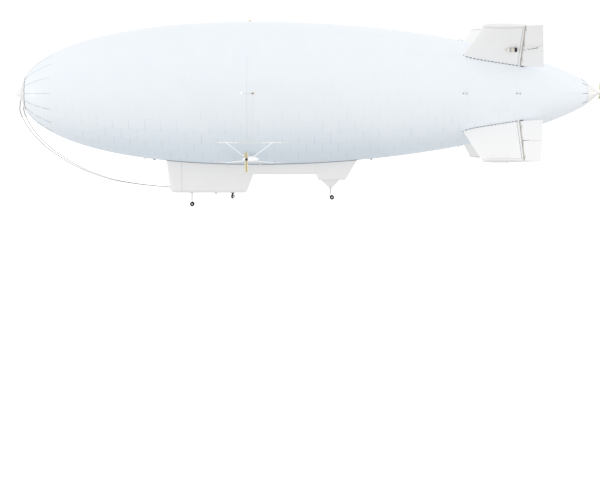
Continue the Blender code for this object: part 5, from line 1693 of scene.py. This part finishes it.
# Conduit tape: satin, pale blue-grey.
tape = mottled_material("pale_conduit_tape", 0.45, (3, "D3DBE2", "E2E8EE"), (20, 0.2, 0.003))
# Amber lamp glass: glossy, pale yellow-orange.
amber = mottled_material(
    "amber_lamp_glass", 0.15, (12, "D9AF5E", "F2D592"), (25, 0.15, 0.003), Coat_Weight=0.6
)


def dome_on_hull(name, station, roll, rows, sides, material):
    """A small round thing that stands on the hull: rows are (height above the skin, radius)."""
    dome = draw_round(name, rows, sides, material, "Z", smooth_angle=50)
    place_in_mesh(dome)
    base = on_hull(station, roll)
    upright = (on_hull(station, roll, 1.0) - base).to_track_quat("Z", "Y").to_matrix().to_4x4()
    dome.data.transform(Matrix.Translation(base) @ upright)
    return dome


BEACON_BASE_ROWS = [(-0.02, 0.15), (0.02, 0.15), (0.035, 0.12), (0.07, 0.10)]
BEACON_LAMP_ROWS = [(0.07, 0.085), (0.13, 0.085), (0.17, 0.06), (0.185, 0.02)]
LAMP_BASE_ROWS = [(-0.02, 0.08), (0.03, 0.08), (0.05, 0.07), (0.055, 0.02)]
LAMP_ROWS = [(-0.02, 0.075), (0.04, 0.075), (0.07, 0.05), (0.08, 0.02)]
PICKUP_ROWS = [(-0.02, 0.13), (0.02, 0.12), (0.05, 0.09), (0.07, 0.05), (0.075, 0.02)]
fittings = [
    dome_on_hull("beacon_base", 22.37, 0, BEACON_BASE_ROWS, 32, gelcoat),
    dome_on_hull("beacon_lamp", 22.37, 0, BEACON_LAMP_ROWS, 32, amber),
]
for side in (-1, 1):
    lamp = 90 * side
    fittings.append(dome_on_hull("side_lamp_base", 22.78, lamp, LAMP_BASE_ROWS, 32, dark_lacing_and_shadow))
    fittings.append(dome_on_hull("side_lamp", 22.88, lamp, LAMP_ROWS, 32, amber))
    fittings.append(dome_on_hull("pickup", 21.73, lamp, PICKUP_ROWS, 32, self_lit_white))
    wire_route = [on_hull(21.86 + 0.86 * i / 6, lamp, 0.008) for i in range(7)]
    fittings.append(draw_tube("lamp_wire", wire_route, 0.014, tape))
    # columns: station, roll of its upper end, radius
    for station, top_roll, radius in ((22.25, 58, 0.016), (22.78, 91, 0.010)):
        hoop = [on_hull(station, side * (top_roll + (131 - top_roll) * i / 36), 0.004) for i in range(37)]
        fittings.append(draw_tube("conduit", hoop, radius, tape))
PATCH_STATIONS = (3.85, 14.25)
PATCH_HALF_WIDTH = 0.77
PATCH_LIFT = 0.008
patch_shape = [(-0.02, -1)] + [(PATCH_LIFT, i / 4) for i in range(-4, 5)] + [(-0.02, 1)]
patch_rows = []
for i in range(31):
    station = PATCH_STATIONS[0] + (PATCH_STATIONS[1] - PATCH_STATIONS[0]) * i / 30
    row = []
    for lift, share in patch_shape:
        sideways = PATCH_HALF_WIDTH * share
        row.append(on_hull(station, 180 - math.degrees(math.asin(sideways / hull_radius(station))), lift))
    patch_rows.append(row)
fittings.append(draw_loft("chin_doubler", patch_rows, patch_cloth, 50))
patch_outline = [row[1] for row in reversed(patch_rows)] + patch_rows[0][2:-2]
patch_outline += [row[-2] for row in patch_rows]
fittings.append(draw_tube("chin_doubler_edge", patch_outline, 0.014, tape, 1))
for station, radius, height, material in (
    (12.32, 0.09, 0.16, hinge_metal),
    (13.20, 0.18, 0.09, dark_lacing_and_shadow),
    (33.97, 0.16, 0.09, dark_lacing_and_shadow),
):
    rows = [(-0.02, radius), (0.01, radius), (height * 0.6, radius * 0.8), (height, radius * 0.3)]
    fittings.append(dome_on_hull("belly_fitting", station, 180, rows, 24, material))
settle(join("envelope_fittings", fittings), "ship", "envelope_fabric")
